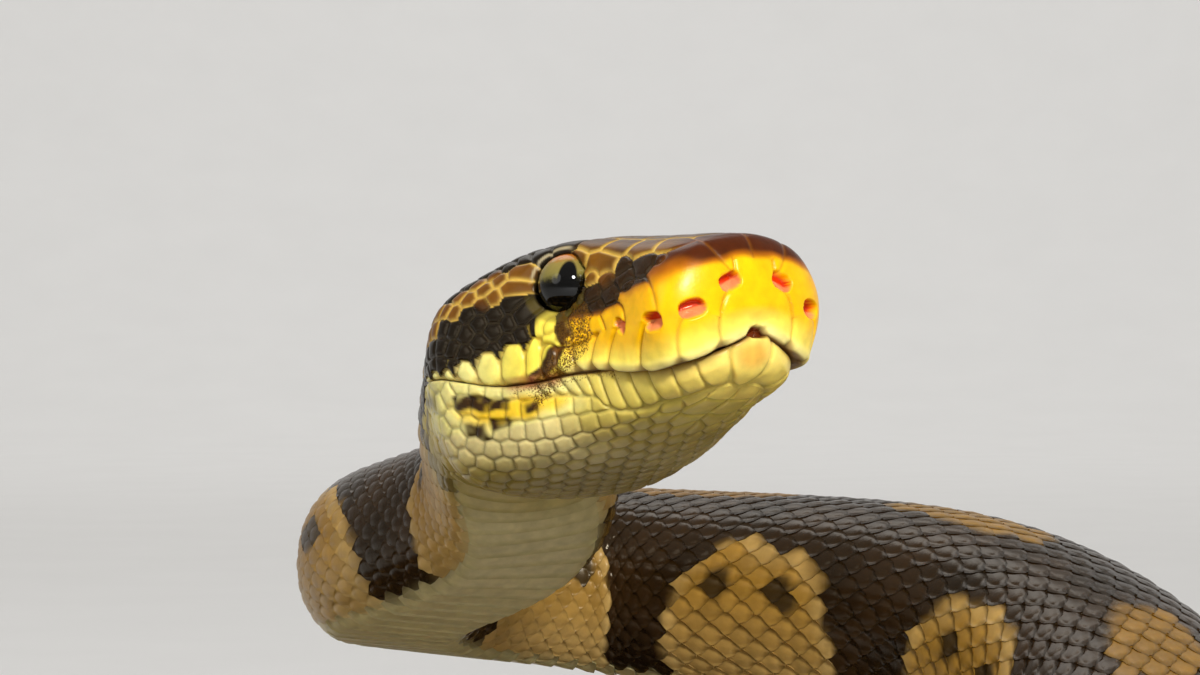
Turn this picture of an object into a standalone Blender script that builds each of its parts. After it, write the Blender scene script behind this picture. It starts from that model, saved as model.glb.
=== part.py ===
"""A coiled ball python, life size, as plain closed solids in metres with +Z up.

The body is one spine with a cross-section swept along it.  The spine starts at the
tail tip, goes round the floor in two turns, climbs on to them, loops over the middle
and rises into the neck and head.  Thin cuts part it into named lengths.
"""
import math

import bmesh
import bpy
import numpy as np
from mathutils import Vector

MM = 0.001

# ---------------------------------------------------------------- driving sizes, mm
CUT = 0.3                    # space left between two neighbouring solids
COIL_CENTRE = (-5.2, 3.5)    # where the coil's middle lies in the part's frame
STRETCH = (1.03, 0.99)       # the coil is a little longer along X than along Y

OUTER_R = 105.0              # centre line of the turn that lies outside
INNER_R = 60.5               # centre line of the turn inside it
FLAT = 0.86                  # belly height as a share of the half height
ROUND = 2.25                 # squareness of the body's cross-section
HEIGHT_SHARE = 0.92          # half height as a share of the half width

# The head: snout tip, direction and the eyes' places behind, beside and over the lip.
SNOUT = (20.8, -45.7, 93.5)
HEAD_YAW = -54.0
HEAD_PITCH = 8.0
HEAD_LENGTH = 44.0
EYE_BACK, EYE_SIDE, EYE_UP = 19.3, 8.5, 7.3
EYE_RADIUS = 3.2

# How finely the solids are cut.
BODY_SIDES = 22              # sides of a ring of the trunk
NECK_SIDES = 24
TAIL_SIDES, TAIL_RINGS = 16, 15
BODY_STEP = 11.5             # from ring to ring along the trunk
HEAD_SIDES = 36
HEAD_STATIONS = 24
EYE_RINGS, EYE_SEGMENTS, SOCKET_SEGMENTS = 10, 18, 16
TAIL_CROWD, HEAD_CROWD = 1.35, 1.7   # rings get closer to the tips by these powers
SNOUT_START, CHIN_START = 0.12, 0.25  # the first ring's distance behind each tip
TAIL_START = 0.35            # the tail's first ring, from the tip of the spine
TAIL_TIP = 0.9               # and how far a half-size ring reaches ahead of it


def smooth(x, keys):
    """A smooth curve through (place, value) keys that never overshoots them."""
    px = np.array([k[0] for k in keys], float)
    py = np.array([k[1] for k in keys], float)
    step = np.diff(px)
    rise = np.diff(py) / step
    slope = np.zeros(len(px))
    slope[0], slope[-1] = rise[0], rise[-1]
    for i in range(1, len(px) - 1):
        if rise[i - 1] * rise[i] > 0:
            slope[i] = 2 * rise[i - 1] * rise[i] / (rise[i - 1] + rise[i])
    x = np.clip(np.asarray(x, float), px[0], px[-1])
    i = np.clip(np.searchsorted(px, x, side="right") - 1, 0, len(step) - 1)
    u = (x - px[i]) / step[i]
    a = py[i] * (1 + 2 * u) * (1 - u) ** 2 + py[i + 1] * u * u * (3 - 2 * u)
    return a + step[i] * (slope[i] * u * (1 - u) ** 2 - slope[i + 1] * u * u * (1 - u))


# ---------------------------------------------------------------- the head's lines
# Each line runs from the snout to the neck: (distance behind the snout tip, value).
# Widths are half widths, heights are above the lip at the snout.
TOP_Z = ((0, 9.2), (4, 10.2), (8, 10.8), (13, 11.5), (18, 12.2), (26, 12.6), (34, 11.8),
         (44, 9.4))
CREST_Y = ((0, 5.5), (5, 6.3), (10, 7.0), (17, 7.7), (25, 8.4), (34, 8.4), (44, 6.0))
CREST_Z = ((0, 8.0), (5, 9.3), (10, 10.0), (17, 11.3), (25, 11.8), (34, 10.6), (44, 8.0))
TEMPLE_Y = ((0, 8.5), (5, 9.3), (10, 9.2), (17, 9.6), (25, 12.0), (34, 13.6), (44, 9.6))
TEMPLE_Z = ((0, 5.4), (5, 6.3), (10, 7.0), (17, 8.1), (25, 8.9), (34, 8.0), (44, 4.5))
CHEEK_Y = ((0, 9.6), (5, 10.2), (10, 10.0), (17, 10.7), (25, 13.0), (34, 15.2), (44, 10.8))
CHEEK_Z = ((0, 1.8), (5, 2.2), (10, 2.4), (17, 2.8), (25, 3.6), (34, 4.2), (44, 2.6))
LIP_Y = ((0, 7.6), (5, 8.5), (10, 9.2), (17, 10.6), (25, 13.1), (34, 15.5), (44, 11.0))
LIP_Z = ((0, -3.3), (0.5, -2.9), (1.6, -2.9), (3, -3.1), (6, -3.3), (9, -3.0), (12, -2.5),
         (15, -2.0), (18, -1.9), (22, -2.15), (25, -2.1), (28, -1.7), (31, -0.95), (35, -0.2),
         (44, 0.2))
JAW_Y = ((0, 5.7), (5, 6.9), (10, 7.9), (17, 9.7), (25, 12.0), (34, 13.6), (44, 9.4))
JAW_Z = ((0, -3.9), (5, -5.1), (10, -5.8), (17, -6.8), (25, -7.9), (34, -8.7), (44, -6.4))
KEEL_Y = ((0, 2.8), (5, 3.6), (10, 4.7), (17, 6.3), (25, 8.0), (34, 8.8), (44, 5.6))
KEEL_Z = ((0, -4.5), (5, -5.9), (10, -7.0), (17, -8.8), (25, -10.7), (34, -12.0),
          (44, -9.0))
CHIN_Z = ((0, -4.5), (5, -6.0), (10, -7.3), (17, -9.7), (25, -11.7), (34, -12.9),
          (44, -10.0))
LIP_SHARE = 4.0 / 7.0        # the lip's place among the eight lines, 0 crown to 1 chin
# The lower jaw is narrower than the upper one that closes over it, by this share.
JAW_SHARE = ((0, 0.72), (1, 0.75), (2.5, 0.79), (5, 0.84), (9, 0.89), (14, 0.94), (19, 0.98),
             (24, 1.0), (44, 1.0))
JAW_GAP = 0.007              # and its edge starts this far round past the lip
SNOUT_REACH = 4.4            # the snout rounds off over this length, seen from above
SNOUT_DROP = 2.6             # and over this length, seen from the side
CHIN_REACH = 5.5             # the chin rounds off over this length
CHIN_DROP = 1.6              # and its tip comes down from the lip over this length
SNOUT_LEAN = 0.15            # the snout's face leans forward by this share of its height
LEAN_LENGTH = 13.0           # and the lean fades out over this length
NECK_TURN = 22.0             # over this length the body's rings turn to face as the head does


def cap(distance, reach, power):
    """How far a blunt rounded end has opened at a distance behind its tip."""
    u = np.clip(distance / reach, 0.0, 1.0)
    return (1 - (1 - u) ** power) ** (1 / power)


def head_point(back, share):
    """Side and up, mm, of the right half's surface at a distance behind the snout."""
    back = np.asarray(back, float)
    ys = [np.zeros_like(back)] + [
        smooth(back, k) for k in (CREST_Y, TEMPLE_Y, CHEEK_Y, LIP_Y, JAW_Y, KEEL_Y)]
    ys.append(np.zeros_like(back))
    zs = [smooth(back, k) for k in
          (TOP_Z, CREST_Z, TEMPLE_Z, CHEEK_Z, LIP_Z, JAW_Z, KEEL_Z, CHIN_Z)]
    wide = cap(back, SNOUT_REACH, 2.4)
    tall = cap(back, SNOUT_DROP, 2.1)
    below = cap(back, CHIN_REACH, 2.2)
    meet = zs[4] * cap(back, CHIN_DROP, 2.0)
    ys = [y * (wide if n < 4.5 else below) for n, y in enumerate(ys)]
    zs = [z * tall if n < 4.5 else z * below + (1 - below) * meet
          for n, z in enumerate(zs)]
    ys = np.array([-ys[1]] + ys + [-ys[-2]])
    zs = np.array([zs[1]] + zs + [zs[-2]])
    place = np.clip(np.asarray(share, float), 0, 1) * 7
    i = np.clip(place.astype(int), 0, 6)
    u = place - i
    cols = np.arange(len(np.atleast_1d(back))) if back.ndim else None

    def spline(p):
        a, b, c, d = (p[i + k] if cols is None else p[i + k, cols] for k in range(4))
        return 0.5 * (2 * b + (c - a) * u + (2 * a - 5 * b + 4 * c - d) * u * u
                      + (3 * b - a - 3 * c + d) * u ** 3)

    narrow = np.where(np.asarray(share) > LIP_SHARE + 1e-6, smooth(back, JAW_SHARE), 1.0)
    return np.maximum(spline(ys), 0.0) * narrow, spline(zs)


# ---------------------------------------------------------------- the spine
def unit(v):
    v = np.asarray(v, float)
    return v / np.linalg.norm(v, axis=-1, keepdims=True)


FORWARD = unit((math.cos(math.radians(HEAD_YAW)), math.sin(math.radians(HEAD_YAW)),
                math.tan(math.radians(HEAD_PITCH))))
LEFT = unit(np.cross((0, 0, 1), FORWARD))
UP = np.cross(FORWARD, LEFT)

# Half width along the body: (share of the body's length from the tail tip, mm).
HALF_WIDTH = ((0.0, 1.5), (0.02, 4.0), (0.05, 7.4), (0.09, 11.4), (0.16, 17.0),
              (0.26, 22.0), (0.40, 23.4), (0.62, 23.2), (0.75, 20.6), (0.84, 17.4),
              (0.91, 14.2), (0.955, 12.2), (0.98, 11.3), (1.0, 10.8))
# The turns: (angle round the coil in degrees, radius).  Angles grow towards the head.
TAIL_ANGLE, TOP_ANGLE = -644.0, 72.0
RADIUS = ((-644, 120.5), (-615, 114.0), (-585, 107.5), (-540, 103.5), (-430, OUTER_R),
          (-320, OUTER_R), (-282, 93.5), (-255, 79.0), (-222, 63.5), (-190, INNER_R),
          (-40, INNER_R), (0, 63.5), (40, 73.5), (72, 77.0))
# Waves that keep the coil from being quite round: (waves to a turn, height, phase).
WOBBLE = ((2, 2.4, 0.8), (3, 1.6, -0.5))
# How far the belly is lifted off the floor, by the same angle.
LIFT = ((-644, 0.0), (-56, 0.0), (-20, 7.5), (22, 31.0), (50, 44.5), (72, 47.5))
# The loop over the middle and the neck, as belly points from the coil to the head.
LOOP = ((6.0, 77.5, 49.0), (-11.0, 70.0, 51.0), (-21.5, 56.0, 53.5), (-21.0, 39.5, 56.5),
        (-11.5, 25.5, 60.5), (-3.0, 11.0, 66.5))
TURN_STEP = 0.5              # degrees between the coil's first points
KNOT_POINTS = 40             # points between two knots of the loop
EASE_ROUNDS = 160            # rounds of evening out the bends
SPINE_STEP = 1.0             # between the points of the finished spine
ON_FLOOR = 700.0             # this much of the body, from the tail tip, rests on the floor
STEEP_NECK = 94              # this many last points stand too steep for a world-up guide
HEAD_BLEND = 26.0            # over this length the body's section becomes the head's


def along(points):
    """Length from the first point to each point of a path."""
    return np.concatenate(([0.0], np.cumsum(np.linalg.norm(np.diff(points, axis=0), axis=1))))


def evenly(points, step):
    """The same path with points an even step apart."""
    s = along(points)
    places = np.linspace(0, s[-1], int(round(s[-1] / step)) + 1)
    return np.column_stack([np.interp(places, s, points[:, k]) for k in range(3)])


def relax(points, rounds):
    """Evens out the bends of a path and holds its two ends."""
    points = points.copy()
    for _ in range(rounds):
        points[1:-1] = points[1:-1] * 0.5 + (points[2:] + points[:-2]) * 0.25
    return points


def belly_height(path):
    """How high the centre line runs over the belly, at each point of a path."""
    s = along(path)
    return FLAT * HEIGHT_SHARE * smooth(s / s[-1], HALF_WIDTH)


def make_spine():
    """The whole centre line, from the tail tip to the back of the head, 1 mm apart."""
    angle = np.arange(TAIL_ANGLE, TOP_ANGLE + 0.01, TURN_STEP)
    turn = np.radians(angle)
    radius = smooth(angle, RADIUS)
    radius += sum(height * np.cos(waves * turn + phase) for waves, height, phase in WOBBLE)
    coil = np.column_stack((radius * np.cos(turn) * STRETCH[0],
                            radius * np.sin(turn) * STRETCH[1], smooth(angle, LIFT)))
    base = np.array(SNOUT) - HEAD_LENGTH * FORWARD
    drop = np.array((0.0, 0.0, FLAT * HEIGHT_SHARE * HALF_WIDTH[-1][1]))
    knots = np.vstack([coil[-30], coil[-1], np.array(LOOP), base - drop - 3.0 * FORWARD,
                       base - drop, base - drop + 14.0 * FORWARD])
    neck = []
    for a, b, c, d in zip(knots[:-3], knots[1:-2], knots[2:-1], knots[3:]):
        for u in np.linspace(0, 1, KNOT_POINTS, endpoint=False):
            neck.append(0.5 * (2 * b + (c - a) * u + (2 * a - 5 * b + 4 * c - d) * u * u
                               + (3 * b - a - 3 * c + d) * u ** 3))
    path = evenly(np.vstack([coil[:-1], np.array(neck), base - drop]), SPINE_STEP)
    path = relax(path, EASE_ROUNDS)
    path[:, 2] += belly_height(path)
    path = evenly(path, SPINE_STEP)
    on_floor = along(path) < ON_FLOOR
    path[on_floor, 2] = belly_height(path)[on_floor]
    return path


def frames(path):
    """Forward, left and up at each point of the spine."""
    ahead = unit(np.gradient(path, axis=0))
    last = len(path) - 1
    turned = np.clip((np.arange(len(path)) - last + NECK_TURN) / NECK_TURN, 0, 1)
    turned = (turned * turned * (3 - 2 * turned))[:, None]
    ahead = unit(ahead * (1 - turned) + FORWARD * turned)
    up = np.zeros_like(path)
    steep = len(path) - STEEP_NECK
    for n in range(len(path)):
        guide = np.array((0.0, 0.0, 1.0)) if n <= steep else up[n - 1]
        guide = guide - guide.dot(ahead[n]) * ahead[n]
        up[n] = unit(guide)
    # The twist that is left at the head is spread over the neck.
    side = np.cross(up[-1], ahead[-1])
    twist = math.atan2(UP.dot(side), UP.dot(up[-1]))
    for n in range(steep, len(path)):
        share = (n - steep) / (len(path) - 1 - steep)
        a = twist * share * share * (3 - 2 * share)
        side = np.cross(up[n], ahead[n])
        up[n] = math.cos(a) * up[n] + math.sin(a) * side
    left = np.cross(up, ahead)
    return ahead, left, up


SPINE = make_spine()
AHEAD, SIDE, TALL = frames(SPINE)
BODY_LENGTH = len(SPINE) - 1.0


def at(rows, s):
    """A spine quantity at a length from the tail tip."""
    places = np.arange(len(rows))
    return np.array([np.interp(s, places, rows[:, k]) for k in range(3)])


def ring_shares(count):
    """Evenly spread places round a closed section: side sign and share of its half."""
    for k in range(count):
        turn = 2.0 * k / count
        yield (1.0, turn) if turn <= 1.0 else (-1.0, 2.0 - turn)


def body_ring(s, count):
    """One cross-section of the body, as points in mm."""
    half = float(smooth(s / BODY_LENGTH, HALF_WIDTH))
    tall = half * HEIGHT_SHARE
    blend = float(smooth(s, ((BODY_LENGTH - HEAD_BLEND, 0.0), (BODY_LENGTH, 1.0))))
    centre, left, up = at(SPINE, s), unit(at(SIDE, s)), unit(at(TALL, s))
    ring = []
    for sign, share in ring_shares(count):
        a = math.pi * share
        side = half * abs(math.sin(a)) ** (2 / ROUND)
        rise = tall * math.copysign(abs(math.cos(a)) ** (2 / ROUND), math.cos(a))
        rise = max(rise, -FLAT * tall)
        if blend > 0.0:
            end_side, end_rise = head_point(HEAD_LENGTH, share)
            side += (float(end_side) - side) * blend
            rise += (float(end_rise) - rise) * blend
        point = centre - sign * side * left + rise * up
        point[2] = max(point[2], 0.0)
        ring.append(point)
    return np.array(ring)


def head_ring(back, shares):
    """Points of one cross-section of the head, in mm."""
    ring = []
    lean = SNOUT_LEAN * max(1.0 - back / LEAN_LENGTH, 0.0) ** 2
    for sign, share in shares:
        side, rise = head_point(back, share)
        ring.append(np.array(SNOUT) - (back - lean * float(rise)) * FORWARD
                    - sign * float(side) * LEFT + float(rise) * UP)
    return np.array(ring)


# ---------------------------------------------------------------- meshes
def to_frame(point):
    """A point in mm from the coil's middle, as metres in the part's frame."""
    return Vector(((point[0] + COIL_CENTRE[0]) * MM, (point[1] + COIL_CENTRE[1]) * MM,
                   point[2] * MM))


def make_material(name, colour, roughness):
    material = bpy.data.materials.new(name)
    material.use_nodes = True
    shader = material.node_tree.nodes["Principled BSDF"]
    shader.inputs["Base Color"].default_value = (*colour, 1.0)
    shader.inputs["Roughness"].default_value = roughness
    material.diffuse_color = (*colour, 1.0)
    return material


def loft(name, rings, material):
    """A closed solid through a row of rings that have the same number of points."""
    bm = bmesh.new()
    rows = [[bm.verts.new(to_frame(p)) for p in ring] for ring in rings]
    count = len(rows[0])
    for a, b in zip(rows[:-1], rows[1:]):
        for k in range(count):
            m = (k + 1) % count
            bm.faces.new((a[k], a[m], b[m], b[k]))
    bm.faces.new(rows[0][::-1])
    bm.faces.new(rows[-1])
    bmesh.ops.remove_doubles(bm, verts=bm.verts, dist=1e-5)
    bmesh.ops.dissolve_degenerate(bm, edges=bm.edges, dist=1e-6)
    bmesh.ops.recalc_face_normals(bm, faces=bm.faces)
    mesh = bpy.data.meshes.new(name)
    bm.to_mesh(mesh)
    bm.free()
    obj = bpy.data.objects.new(name, mesh)
    obj.data.materials.append(material)
    bpy.context.scene.collection.objects.link(obj)
    return obj


def body_length(name, start, end, colour, sides=BODY_SIDES):
    """One named length of the body, between two places from the tail tip."""
    count = max(2, int(round((end - start) / BODY_STEP)))
    places = np.linspace(start + CUT / 2, end - CUT / 2, count + 1)
    rings = [body_ring(s, sides) for s in places]
    return loft(name, rings, make_material(name + "_skin", colour, 0.45))


def tail(end):
    """The tail, with a rounded tip and rings that get closer towards it."""
    places = (end - CUT / 2) * (np.linspace(0, 1, TAIL_RINGS) ** TAIL_CROWD)
    places[0] = TAIL_START
    rings = [body_ring(s, TAIL_SIDES) for s in places]
    tip = rings[0].mean(axis=0)
    rings.insert(0, tip + (rings[0] - tip) * 0.5 - at(AHEAD, 0.0) * TAIL_TIP)
    rings[0][:, 2] = np.maximum(rings[0][:, 2], CUT / 2)
    return loft("tail", rings, make_material("tail_skin", (0.30, 0.22, 0.10), 0.45))


def head_stations(first):
    """Distances behind the snout, close together where the snout rounds off."""
    u = np.linspace(0, 1, HEAD_STATIONS)
    return first + (HEAD_LENGTH - CUT / 2 - first) * u ** HEAD_CROWD


def upper_head():
    """Skull roof, snout and upper lip, closed along the mouth."""
    half = np.linspace(0.0, LIP_SHARE, HEAD_SIDES // 3 + 1)
    shares = [(1.0, q) for q in half] + [(-1.0, q) for q in half[:0:-1]]
    rings = [head_ring(b, shares) for b in head_stations(SNOUT_START)]
    for ring in rings:
        ring[len(half) - 1] += UP * CUT / 2
        ring[len(half)] += UP * CUT / 2
    return loft("head", rings, make_material("head_skin", (0.52, 0.36, 0.12), 0.4))


def lower_jaw():
    """Lower jaw and throat, closed along the mouth."""
    half = np.linspace(LIP_SHARE + JAW_GAP, 1.0, HEAD_SIDES // 4)
    shares = [(1.0, q) for q in half] + [(-1.0, q) for q in half[-2::-1]]
    rings = [head_ring(b, shares) for b in head_stations(CHIN_START)]
    for ring in rings:
        ring[0] -= UP * CUT / 2
        ring[-1] -= UP * CUT / 2
    return loft("lower_jaw", rings, make_material("jaw_skin", (0.72, 0.66, 0.42), 0.4))


def eye_centre(sign):
    return (np.array(SNOUT) - EYE_BACK * FORWARD - sign * EYE_SIDE * LEFT + EYE_UP * UP)


def ball(name, centre, radius, colour, rings, segments):
    bpy.ops.mesh.primitive_uv_sphere_add(
        segments=segments, ring_count=rings, radius=radius * MM, location=to_frame(centre))
    obj = bpy.context.object
    obj.name = obj.data.name = name
    obj.data.materials.append(make_material(name + "_eye", colour, 0.1))
    bpy.ops.object.transform_apply(location=True, rotation=True, scale=True)
    return obj


def socket(head, name, sign):
    """Hollows the head where an eye sits, a hair wider than the eye."""
    cutter = ball(name, eye_centre(sign), EYE_RADIUS + CUT, (0.1, 0.1, 0.1),
                  EYE_RINGS, SOCKET_SEGMENTS)
    modifier = head.modifiers.new(name, "BOOLEAN")
    modifier.operation = "DIFFERENCE"
    modifier.solver = "EXACT"
    modifier.object = cutter
    bpy.context.view_layer.objects.active = head
    bpy.ops.object.modifier_apply(modifier=name)
    bpy.data.objects.remove(cutter, do_unlink=True)


TAIL_END = 108.0
NECK_START = BODY_LENGTH - 92.0
TRUNK_LENGTHS = 9


def main():
    for obj in list(bpy.data.objects):
        bpy.data.objects.remove(obj, do_unlink=True)
    tail(TAIL_END)
    cuts = np.linspace(TAIL_END, NECK_START, TRUNK_LENGTHS + 1)
    for n in range(TRUNK_LENGTHS):
        shade = 0.18 + 0.05 * (n % 2)
        body_length(f"trunk_{n + 1}", cuts[n], cuts[n + 1], (shade + 0.1, shade, 0.06))
    body_length("neck", NECK_START, BODY_LENGTH, (0.55, 0.45, 0.22), sides=NECK_SIDES)
    head = upper_head()
    lower_jaw()
    for name, sign in (("eye_right", 1.0), ("eye_left", -1.0)):
        socket(head, name + "_socket", sign)
        ball(name, eye_centre(sign), EYE_RADIUS, (0.03, 0.02, 0.02), EYE_RINGS,
             EYE_SEGMENTS)


main()
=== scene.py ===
"""A coiled ball python, life size: its skin, its scales, its eyes and a plain studio.

The skin is one closed surface from the snout to the tail tip.  The scales lie over it as
solid mesh: overlapping plates along the body, wide plates under the belly, and two
close-fitting shells of joined shields on the head.  Lengths are in mm until a mesh is
made.  A place on the animal is its distance from the tail tip along the body, and its
turn: 0 on the back, 1 or -1 under the belly, positive on the animal's right.
"""
import math

import bpy
import numpy as np
from mathutils import Matrix, Vector


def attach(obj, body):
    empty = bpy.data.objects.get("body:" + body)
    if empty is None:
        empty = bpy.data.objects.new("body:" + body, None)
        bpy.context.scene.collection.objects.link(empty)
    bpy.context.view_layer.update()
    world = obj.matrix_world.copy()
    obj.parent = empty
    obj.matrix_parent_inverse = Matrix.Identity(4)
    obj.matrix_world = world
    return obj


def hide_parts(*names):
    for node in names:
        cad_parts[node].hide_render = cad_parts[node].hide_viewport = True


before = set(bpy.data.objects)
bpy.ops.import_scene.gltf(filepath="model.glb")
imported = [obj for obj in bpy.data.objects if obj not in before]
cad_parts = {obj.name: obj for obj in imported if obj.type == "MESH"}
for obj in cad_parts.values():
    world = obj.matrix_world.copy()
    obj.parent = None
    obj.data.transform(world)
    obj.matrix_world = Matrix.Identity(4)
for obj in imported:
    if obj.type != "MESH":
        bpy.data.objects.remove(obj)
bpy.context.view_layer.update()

bl_info = {
    "name": "Coiled ball python",
    "version": (1, 0, 0),
    "blender": (4, 5, 0),
    "location": "3D View > Sidebar > Python",
    "description": "Builds a coiled ball python with solid scales",
    "category": "Object",
}

MM = 0.001

# ---------------------------------------------------------------- the shared shape, mm
COIL_CENTRE = np.array((-5.2, 3.5, 0.0))
STRETCH = (1.03, 0.99)                   # the coil is a little longer along X than along Y
OUTER_R, INNER_R = 105.0, 60.5           # centre lines of the two turns on the floor
FLAT = 0.86                              # belly height as a share of the half height
ROUND = 2.25                             # squareness of the body's cross-section
HEIGHT_SHARE = 0.92                      # half height as a share of the half width
SNOUT = np.array((20.8, -45.7, 93.5))
HEAD_YAW, HEAD_PITCH, HEAD_LENGTH = -54.0, 8.0, 44.0
EYE_BACK, EYE_SIDE, EYE_UP, EYE_RADIUS = 19.3, 8.5, 7.3, 3.2

# Lines along the head, from the crown to the chin: (behind the snout, side or height).
TOP_Z = ((0, 9.2), (4, 10.2), (8, 10.8), (13, 11.5), (18, 12.2), (26, 12.6), (34, 11.8),
         (44, 9.4))
CREST_Y = ((0, 5.5), (5, 6.3), (10, 7.0), (17, 7.7), (25, 8.4), (34, 8.4), (44, 6.0))
CREST_Z = ((0, 8.0), (5, 9.3), (10, 10.0), (17, 11.3), (25, 11.8), (34, 10.6), (44, 8.0))
TEMPLE_Y = ((0, 8.5), (5, 9.3), (10, 9.2), (17, 9.6), (25, 12.0), (34, 13.6), (44, 9.6))
TEMPLE_Z = ((0, 5.4), (5, 6.3), (10, 7.0), (17, 8.1), (25, 8.9), (34, 8.0), (44, 4.5))
CHEEK_Y = ((0, 9.6), (5, 10.2), (10, 10.0), (17, 10.7), (25, 13.0), (34, 15.2), (44, 10.8))
CHEEK_Z = ((0, 1.8), (5, 2.2), (10, 2.4), (17, 2.8), (25, 3.6), (34, 4.2), (44, 2.6))
LIP_Y = ((0, 7.6), (5, 8.5), (10, 9.2), (17, 10.6), (25, 13.1), (34, 15.5), (44, 11.0))
LIP_Z = ((0, -3.3), (0.5, -2.9), (1.6, -2.9), (3, -3.1), (6, -3.3), (9, -3.0), (12, -2.5),
         (15, -2.0), (18, -1.9), (22, -2.15), (25, -2.1), (28, -1.7), (31, -0.95), (35, -0.2),
         (44, 0.2))
JAW_Y = ((0, 5.7), (5, 6.9), (10, 7.9), (17, 9.7), (25, 12.0), (34, 13.6), (44, 9.4))
JAW_Z = ((0, -3.9), (5, -5.1), (10, -5.8), (17, -6.8), (25, -7.9), (34, -8.7), (44, -6.4))
KEEL_Y = ((0, 2.8), (5, 3.6), (10, 4.7), (17, 6.3), (25, 8.0), (34, 8.8), (44, 5.6))
KEEL_Z = ((0, -4.5), (5, -5.9), (10, -7.0), (17, -8.8), (25, -10.7), (34, -12.0),
          (44, -9.0))
CHIN_Z = ((0, -4.5), (5, -6.0), (10, -7.3), (17, -9.7), (25, -11.7), (34, -12.9),
          (44, -10.0))
LIP_LINE, LIP_SHARE = 4, 4.0 / 7.0       # the lip's place from crown to chin
# How the lines close at the tips: the length over which they do, and a power.
SNOUT_REACH, SNOUT_DROP = (4.4, 2.4), (2.6, 2.1)
CHIN_REACH, CHIN_DROP = (5.5, 2.2), (1.6, 2.0)
JAW_SHARE = ((0, 0.72), (1, 0.75), (2.5, 0.79), (5, 0.84), (9, 0.89), (14, 0.94), (19, 0.98),
             (24, 1.0), (44, 1.0))
JAW_GAP = 0.002                          # the lower jaw's edge starts this far past the lip
SNOUT_LEAN, LEAN_LENGTH = 0.15, 13.0     # the snout's face leans forward, and how far back
NECK_TURN, HEAD_BLEND = 22.0, 26.0       # where the body takes the head's line and section

# Along the body from the tail tip, by share of its length, and round the coil by angle.
HALF_WIDTH = ((0.0, 1.5), (0.02, 4.0), (0.05, 7.4), (0.09, 11.4), (0.16, 17.0),
              (0.26, 22.0), (0.40, 23.4), (0.62, 23.2), (0.75, 20.6), (0.84, 17.4),
              (0.91, 14.2), (0.955, 12.2), (0.98, 11.3), (1.0, 10.8))
TAIL_ANGLE, TOP_ANGLE = -644.0, 72.0
RADIUS = ((-644, 120.5), (-615, 114.0), (-585, 107.5), (-540, 103.5), (-430, OUTER_R),
          (-320, OUTER_R), (-282, 93.5), (-255, 79.0), (-222, 63.5), (-190, INNER_R),
          (-40, INNER_R), (0, 63.5), (40, 73.5), (72, 77.0))
LIFT = ((-644, 0.0), (-56, 0.0), (-20, 7.5), (22, 31.0), (50, 44.5), (72, 47.5))
LOOP = ((6.0, 77.5, 49.0), (-11.0, 70.0, 51.0), (-21.5, 56.0, 53.5), (-21.0, 39.5, 56.5),
        (-11.5, 25.5, 60.5), (-3.0, 11.0, 66.5))
WOBBLE = ((2, 2.4, 0.8), (3, 1.6, -0.5))    # waves to a turn, height and phase
TURN_STEP, KNOT_POINTS, SPINE_STEP = 0.5, 40, 1.0
EASE_ROUNDS = 160                        # rounds of evening out the bends
ON_FLOOR = 700.0                         # this much of the body lies on the floor
STEEP_NECK = 94                          # the last points are too steep for a world-up guide


def smooth(x, keys):
    """A smooth curve through (place, value) keys that never overshoots them."""
    px = np.array([k[0] for k in keys], float)
    py = np.array([k[1] for k in keys], float)
    step = np.diff(px)
    rise = np.diff(py) / step
    slope = np.zeros(len(px))
    slope[0], slope[-1] = rise[0], rise[-1]
    for i in range(1, len(px) - 1):
        if rise[i - 1] * rise[i] > 0:
            slope[i] = 2 * rise[i - 1] * rise[i] / (rise[i - 1] + rise[i])
    x = np.clip(np.asarray(x, float), px[0], px[-1])
    i = np.clip(np.searchsorted(px, x, side="right") - 1, 0, len(step) - 1)
    u = (x - px[i]) / step[i]
    a = py[i] * (1 + 2 * u) * (1 - u) ** 2 + py[i + 1] * u * u * (3 - 2 * u)
    return a + step[i] * (slope[i] * u * (1 - u) ** 2 - slope[i + 1] * u * u * (1 - u))


def ease(x, low=0.0, high=1.0):
    """0 below low, 1 above high and an even curve between."""
    u = np.clip((np.asarray(x, float) - low) / (high - low), 0.0, 1.0)
    return u * u * (3 - 2 * u)


def fade(x, low, high):
    """1 below low, 0 above high and an even curve between."""
    return 1 - ease(x, low, high)


def hump(x, width):
    """1 at 0, falling away evenly to both sides."""
    return np.exp(-(x / width) ** 2)


def unit(v):
    """The same directions with length 1."""
    v = np.asarray(v, float)
    return v / np.maximum(np.linalg.norm(v, axis=-1, keepdims=True), 1e-12)


def cap(distance, shape):
    """How far a blunt rounded end has opened at a distance behind its tip."""
    reach, power = shape
    u = np.clip(distance / reach, 0.0, 1.0)
    return (1 - (1 - u) ** power) ** (1 / power)


def between(a, b, c, d, u):
    """A smooth curve from b to c that takes its slopes from a and d."""
    return 0.5 * (2 * b + (c - a) * u + (2 * a - 5 * b + 4 * c - d) * u * u
                  + (3 * b - a - 3 * c + d) * u ** 3)


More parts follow.
